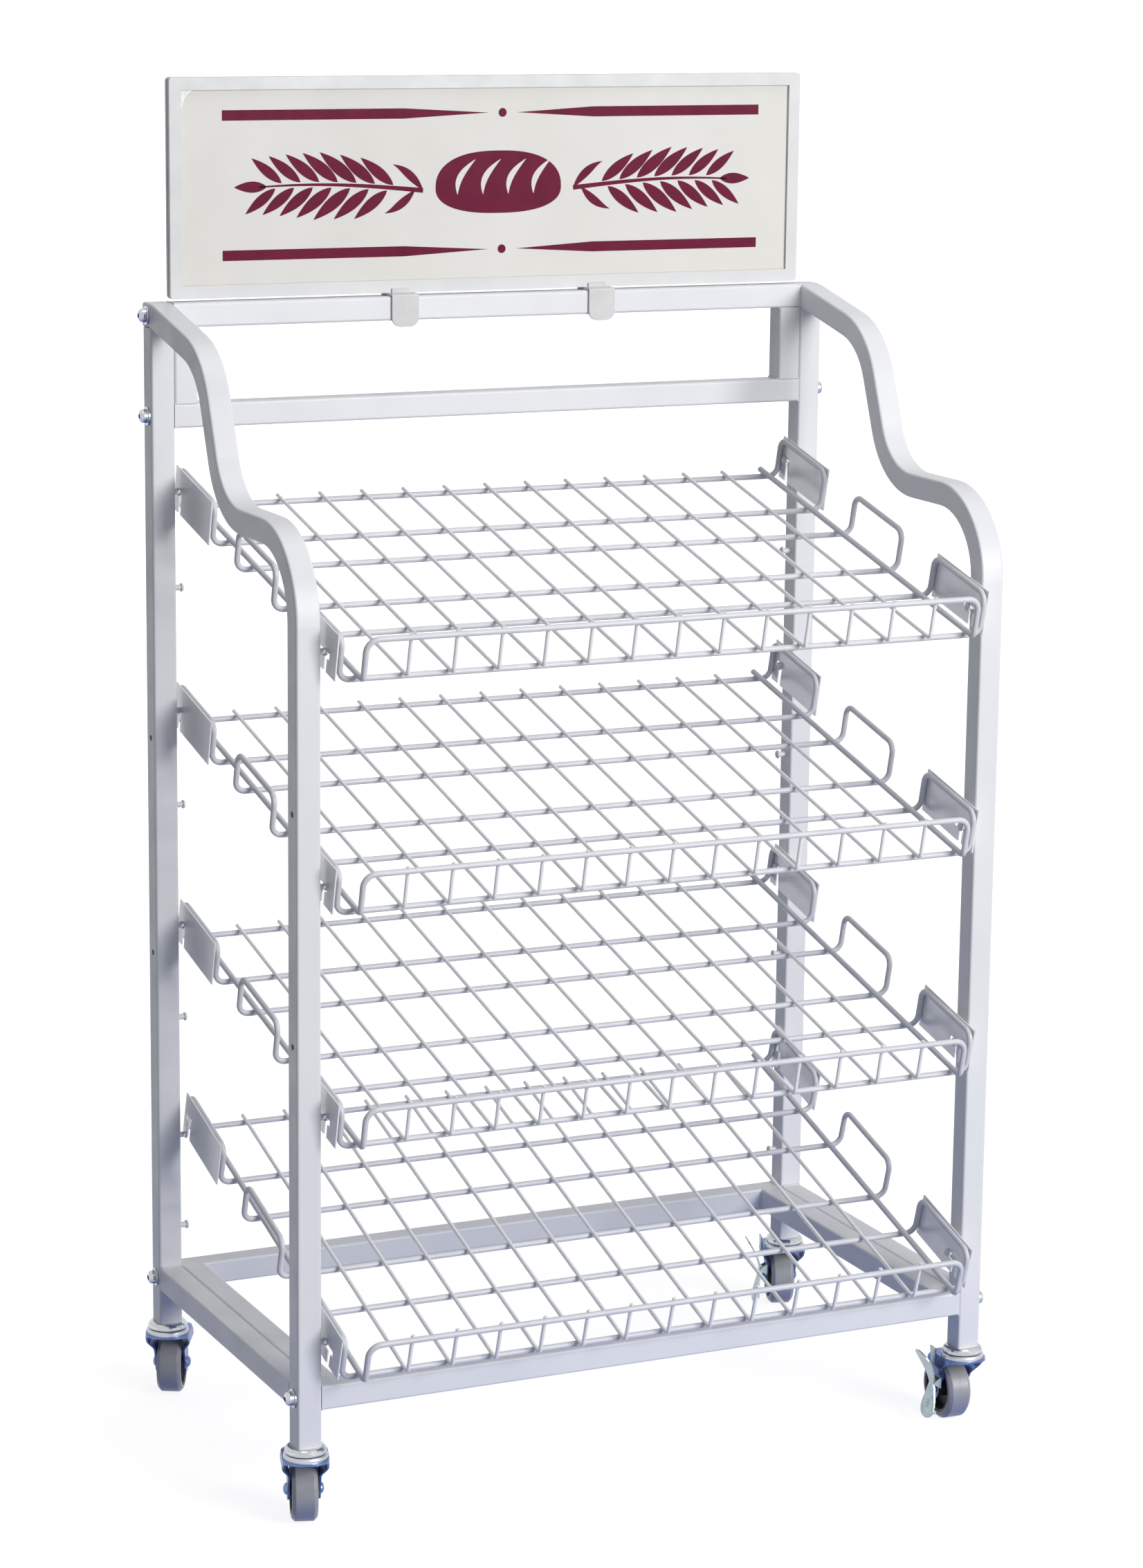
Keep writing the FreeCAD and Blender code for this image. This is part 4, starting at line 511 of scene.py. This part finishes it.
def flat(outlines, face, thickness):
    """Thin plates in the plane of the card, whose front faces lie at y = face.

    Neighbours lie at slightly different depths, so that no two of them share a plane.
    """
    parts = []
    for i, outline in enumerate(outlines):
        count = len(outline)
        depth = face - i % LAYERS * LAYER_STEP * MM
        front = [Vector((x * MM, depth, SIGN_FOOT + up * MM)) for x, up in outline]
        back = [v + Vector((0, thickness * MM, 0)) for v in front]
        faces = [tuple(range(count)), tuple(range(2 * count - 1, count - 1, -1))]
        faces += [(k, (k + 1) % count, count + (k + 1) % count, count + k) for k in range(count)]
        parts.append((front + back, faces))
    return join(parts)


def disc(x, up, radius):
    """Outline of a dot."""
    return [(x + radius * math.cos(turn), up + radius * math.sin(turn)) for turn in turns(DOT_SIDES)]


def swell(t, powers):
    """Fullness of a pointed shape at a share t of its length; powers move and sharpen its peak."""
    return math.sin(math.pi * t ** powers[0]) ** powers[1]


def grain_shape(x, up, length, width, angle):
    """Outline of an ear's grain: pointed at both ends, fuller towards its base at (x, up)."""
    along = (math.cos(angle), math.sin(angle))
    side = (-along[1], along[0])
    rim = []
    for direction in (1, -1):
        for share in shares(GRAIN_STEPS)[:-1]:
            t = share if direction > 0 else 1 - share
            half = width / 2 * swell(t, GRAIN_POWERS)
            rim.append((x + along[0] * t * length + side[0] * half * direction,
                        up + along[1] * t * length + side[1] * half * direction))
    return rim


def stroke(points, widths):
    """Outline of a line of varying width through points."""
    left, right = [], []
    for i, (x, up) in enumerate(points):
        x0, up0 = points[max(i - 1, 0)]
        x1, up1 = points[min(i + 1, len(points) - 1)]
        length = math.hypot(x1 - x0, up1 - up0)
        nx, nu = -(up1 - up0) / length, (x1 - x0) / length
        left.append((x + nx * widths[i] / 2, up + nu * widths[i] / 2))
        right.append((x - nx * widths[i] / 2, up - nu * widths[i] / 2))
    return left + right[::-1]


def rules():
    """The two broken rules, each tapered to a point at either side of a dot."""
    outlines = []
    for middle in RULE_HEIGHTS:
        for (end, taper, point), half in ((LEFT_RULE, RULE_HALF), (RIGHT_RULE, -RULE_HALF)):
            outlines.append([(end, middle - half), (taper, middle - half), (point, middle),
                             (taper, middle + half), (end, middle + half)])
        outlines.append(disc(DOT_X, middle, DOT_RADIUS))
    return outlines


def wheat(direction):
    """An ear of wheat that lies along the card, from beside the loaf outwards."""
    def spine(t):
        return (PRINT_X + direction * (EAR_START + EAR_LENGTH * t),
                PRINT_UP - EAR_DROP + EAR_ARCH * math.sin(EAR_BEND * t))

    def grain(x, up, length, width, angle):
        outlines.append(grain_shape(x, up, length, width, angle if direction > 0 else math.pi - angle))

    outlines = [stroke([spine(t) for t in shares(EAR_STEPS)],
                       [STALK_WIDTH - STALK_TAPER * t for t in shares(EAR_STEPS)])]
    for i in range(GRAIN_PAIRS):
        x, up = spine(GRAIN_FIRST + GRAIN_SPAN * i / (GRAIN_PAIRS - 1))
        size = 1 - GRAIN_SHRINK * abs(i - LARGEST_PAIR) / GRAIN_PAIRS
        for side, ahead in GRAIN_STANDS.items():
            grain(x + direction * ahead, up + side * GRAIN_OFF_STALK, GRAIN_LENGTH * size,
                  GRAIN_WIDTH * size, math.radians(GRAIN_ANGLE) * side)
    tip_x, tip_up = spine(TIP_AT)
    grain(tip_x - direction * TIP_BACK, tip_up, TIP_LENGTH, TIP_WIDTH, 0)
    for lean, foot in LEAVES:
        x, up = spine(foot)
        leaf = [(x + direction * LEAF_REACH * t, up + lean * LEAF_RISE * t - lean * LEAF_DROOP * t * t)
                for t in shares(LEAF_STEPS)]
        widths = [LEAF_POINT + LEAF_WIDTH * swell(t, LEAF_POWERS) for t in shares(LEAF_STEPS)]
        outlines.append(stroke(leaf, widths))
    return outlines


def loaf():
    """A round-ended loaf seen from the front."""
    rim = []
    for turn in turns(LOAF_STEPS):
        c, s = math.cos(turn), math.sin(turn)
        x = LOAF_HALF * math.copysign(abs(c) ** LOAF_END_POWER, c)
        up = (LOAF_RISE if s > 0 else LOAF_FALL) * math.copysign(abs(s) ** LOAF_TOP_POWER, s)
        rim.append((PRINT_X + x, PRINT_UP - LOAF_DROP + up))
    return rim


def cuts():
    """Slanted cuts in the crust, left in the colour of the card."""
    outlines = []
    for i in range(CUTS):
        x, up = PRINT_X + CUT_START[0] + CUT_PITCH * i, PRINT_UP + CUT_START[1]
        points = [(x + CUT_REACH[0] * t - CUT_BOW * math.sin(math.pi * t), up + CUT_REACH[1] * t)
                  for t in shares(CUT_STEPS)]
        widths = [CUT_POINT + CUT_WIDTH * math.sin(math.pi * t) for t in shares(CUT_STEPS)]
        outlines.append(stroke(points, widths))
    return outlines


def sign_print():
    """The card's printed face, the maroon print on it and the cuts in the printed loaf."""
    low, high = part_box("sign_card")
    left, right = low.x / MM + SHEET_MARGIN, high.x / MM - SHEET_MARGIN
    bottom, top = (low.z - SIGN_FOOT) / MM + SHEET_MARGIN, (high.z - SIGN_FOOT) / MM - SHEET_MARGIN
    sheet = [(left, bottom), (right, bottom), (right, top), (left, top)]
    for name, outlines, depth, thickness, finish in (
            ("sign_card_printed_face", [sheet], SHEET_DEPTH, SHEET_THICK, card),
            ("sign_print_rules", rules(), INK_DEPTH, INK_THICK, ink),
            ("sign_print_wheat_and_loaf", wheat(-1) + wheat(1) + [loaf()], INK_DEPTH, INK_THICK, ink),
            ("sign_print_loaf_cuts", cuts(), CUT_DEPTH, SHEET_THICK, card)):
        piece(name, flat(outlines, CARD_FACE - depth * MM, thickness), finish, "sign",
              smooth=False)


def cover_curl_painted_glare():
    """The corner of the clear film that has lifted at the top left of the window, drawn as a near-white,
    mostly opaque patch that is a painted highlight of its glare.
    """
    rim = []
    for t in shares(CURL_STEPS):
        bow = CURL_BOW * math.sin(math.pi * t)
        rim.append((CURL_LOW[0] + (CURL_RIGHT[0] - CURL_LOW[0]) * t - bow,
                    CURL_LOW[1] + (CURL_RIGHT[1] - CURL_LOW[1]) * t + bow))
    curl = flat([rim + [CURL_CORNER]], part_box("sign_cover")[0].y - CURL_DEPTH * MM, CURL_THICK)
    piece("sign_cover_lifted_corner_painted_glare", curl, film_curl_painted_glare, "sign", smooth=False)


# ---------------------------------------------------------------- casters
TREAD_RADIUS = 32.5 * MM
# The moulding line's section in mm: along the axle, and out from the tread.
MOULDING = ((-0.35, -0.3), (-0.18, 0.07), (0.18, 0.07), (0.35, -0.3))
MOULDING_STEPS = 120
RIBS = 3
RIB_STEPS = 8
RIB_SIDES = 8
RIB_RADIUS = 0.5 * MM
RIB_END = 0.35  # size of a rib's ends, as a share of its radius
RIB_HALF_LENGTH = 3.2 * MM
RIB_SLANT = 2.6 * MM
RIB_PITCH = 3.2 * MM
LOWEST_RIB = 10.5 * MM  # over the lever's lower end
PROBE_REACH = 60 * MM


def tread_line(caster):
    """The fine moulding line round the middle of a tread."""
    joint = JOINTS["roll_" + caster]
    centre, axis = Vector(joint["pos_m"]), Vector(joint["axis"]).normalized()
    first = axis.orthogonal().normalized()
    second = axis.cross(first)
    vertices = []
    for turn in turns(MOULDING_STEPS):
        out = first * math.cos(turn) + second * math.sin(turn)
        vertices += [centre + axis * (a * MM) + out * (TREAD_RADIUS + r * MM) for a, r in MOULDING]
    size = len(MOULDING)
    faces = [(k * size + i, k * size + (i + 1) % size,
              (k + 1) % MOULDING_STEPS * size + (i + 1) % size, (k + 1) % MOULDING_STEPS * size + i)
             for k in range(MOULDING_STEPS) for i in range(size)]
    piece(f"tread_line_{caster}", (vertices, faces), rubber, f"wheel_{caster}")


def lever_ribs(caster):
    """Slanted grip ribs pressed in the lower wing of a brake lever."""
    mesh = NODES["brake_lever_" + caster].data
    lever = BVHTree.FromPolygons([v.co.copy() for v in mesh.vertices],
                                 [tuple(p.vertices) for p in mesh.polygons])
    hinge = JOINTS["brake_" + caster]
    pivot, along = Vector(hinge["pos_m"]), Vector(hinge["axis"]).normalized()
    outward = along.cross(Vector((0, 0, 1))).normalized()
    if outward.x > 0:
        outward.negate()
    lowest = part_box("brake_lever_" + caster)[0].z
    radii = [RIB_RADIUS * (RIB_END + (1 - RIB_END) * math.sin(math.pi * t)) for t in shares(RIB_STEPS)]
    parts = []
    for i in range(RIBS):
        path = []
        for t in shares(RIB_STEPS):
            probe = pivot + along * (2 * t - 1) * RIB_HALF_LENGTH + outward * PROBE_REACH
            probe.z = lowest + LOWEST_RIB + RIB_PITCH * i + RIB_SLANT * t
            path.append(lever.ray_cast(probe, -outward)[0])
        parts.append(tube(path, radii, RIB_SIDES, outward))
    piece(f"lever_ribs_{caster}", join(parts), bright_zinc, f"lever_{caster}")


# ---------------------------------------------------------------- floor, world and lamps
FLOOR_HALF = 400.0
FLOOR_SEEN = (0.9, 0.9, 0.9, 1)
FLOOR_GLOW = 1.25
# What the floor throws back on the rack: blue from the shade under it, grey from around it.
NEAR_BOUNCE, FAR_BOUNCE = (0.20, 0.29, 0.66, 1), (0.33, 0.34, 0.35, 1)
BOUNCE_RADII = (0.5, 1.1)
GLOW_RADII = (0.45, 1.3)
GLOW_SHARES = (0.7, 1.0)
WHITE = (1, 1, 1, 1)
AMBIENT = (0.86, 0.90, 1.0, 1)
AMBIENT_STRENGTH = 0.24
LAMP_TARGET = Vector((0, 0, 0.7))


def seen_directly(tree):
    """1 for camera, glossy and transmission rays, which see the white studio, and 0 for others."""
    path = tree.add("LightPath")
    first = tree.add("Math", {0: path.outputs["Is Camera Ray"], 1: path.outputs["Is Glossy Ray"]},
                     operation="MAXIMUM")
    second = tree.add("Math", {0: first.outputs[0], 1: path.outputs["Is Transmission Ray"]},
                      operation="MAXIMUM")
    return second.outputs[0]


def make_floor():
    """A plain pale floor that fades into the white studio and keeps the rack's shadow."""
    mesh = bpy.data.meshes.new("studio_floor")
    mesh.from_pydata([(x * FLOOR_HALF, y * FLOOR_HALF, 0) for x, y in ((-1, -1), (1, -1), (1, 1), (-1, 1))],
                     [], [(0, 1, 2, 3)])
    floor = bpy.data.objects.new("studio_floor", mesh)
    bpy.context.scene.collection.objects.link(floor)
    material = bpy.data.materials.new("studio_floor")
    tree = Tree(material)
    seen = seen_directly(tree)
    radius = tree.add("VectorMath", {0: tree.place()}, operation="LENGTH").outputs["Value"]
    bounce = tree.blend(tree.spread(radius, *BOUNCE_RADII, 0, 1), NEAR_BOUNCE, FAR_BOUNCE)
    paper = tree.add("BsdfDiffuse", {"Color": tree.blend(seen, bounce, FLOOR_SEEN)})
    glow = tree.add("Emission", {"Color": WHITE, "Strength": FLOOR_GLOW})
    fade = tree.spread(radius, *GLOW_RADII, *GLOW_SHARES)
    share = tree.add("Math", {0: fade, 1: seen}, operation="MULTIPLY").outputs[0]
    mixed = tree.add("MixShader", {0: share, 1: paper.outputs[0], 2: glow.outputs[0]})
    tree.add("OutputMaterial", {"Surface": mixed.outputs[0]})
    mesh.materials.append(material)


def make_world():
    """A white studio to look at, which lights the rack only faintly."""
    world = bpy.data.worlds.new("studio")
    bpy.context.scene.world = world
    tree = Tree(world)
    ambient = tree.add("Background", {"Color": AMBIENT, "Strength": AMBIENT_STRENGTH})
    white = tree.add("Background", {"Color": WHITE, "Strength": 1.0})
    mixed = tree.add("MixShader", {0: seen_directly(tree), 1: ambient.outputs[0], 2: white.outputs[0]})
    tree.add("OutputWorld", {"Surface": mixed.outputs[0]})


def lamp(name, place, size, power, colour):
    """A soft rectangular lamp that points at the middle of the rack."""
    data = bpy.data.lights.new(name, "AREA")
    data.shape = "RECTANGLE"
    data.size, data.size_y = size
    data.energy = power
    data.color = colour
    obj = bpy.data.objects.new(name, data)
    bpy.context.scene.collection.objects.link(obj)
    obj.location = place
    obj.rotation_euler = (LAMP_TARGET - Vector(place)).to_track_quat("-Z", "Y").to_euler()
    obj.visible_camera = False


# ---------------------------------------------------------------- camera
CAMERA_PLACE = (-1.7921, -3.8306, 1.5749)
CAMERA_AZIMUTH = -25.106
CAMERA_ELEVATION = 11.879
CAMERA_ROLL = 0.651
FILM = 36.0
LENS = 95.94
FAR_CLIP = 1000


def make_camera():
    """The photograph's view: the full frame is 1652 x 2266 pixels."""
    azimuth, elevation, roll = (math.radians(a) for a in (CAMERA_AZIMUTH, CAMERA_ELEVATION, CAMERA_ROLL))
    back = Vector((math.sin(azimuth) * math.cos(elevation), -math.cos(azimuth) * math.cos(elevation),
                   math.sin(elevation)))
    right = (-back).cross(Vector((0, 0, 1))).normalized()
    up = right.cross(-back)
    x = right * math.cos(roll) + up * math.sin(roll)
    y = up * math.cos(roll) - right * math.sin(roll)
    data = bpy.data.cameras.new("camera")
    data.sensor_fit = "VERTICAL"
    data.sensor_width = FILM
    data.sensor_height = FILM
    data.lens = LENS
    data.clip_end = FAR_CLIP
    camera = bpy.data.objects.new("camera", data)
    bpy.context.scene.collection.objects.link(camera)
    rotation = Matrix((x, y, back)).transposed().to_4x4()
    camera.matrix_world = Matrix.Translation(CAMERA_PLACE) @ rotation
    bpy.context.scene.camera = camera


# ---------------------------------------------------------------- the scene
frame_welds()
for level in SHELF_LEVELS:
    shelf_welds(level)
sign_print()
cover_curl_painted_glare()
for caster in CASTERS:
    tread_line(caster)
for caster in BRAKED:
    lever_ribs(caster)
make_floor()
make_world()
lamp("key", (1.75, -4.4, 2.05), (2.2, 2.2), 197, (1.0, 0.988, 0.97))
lamp("overhead", (0.2, -0.2, 3.7), (2.4, 2.0), 26, (1.0, 1.0, 1.0))
make_camera()
bpy.context.scene.view_settings.view_transform = "Standard"
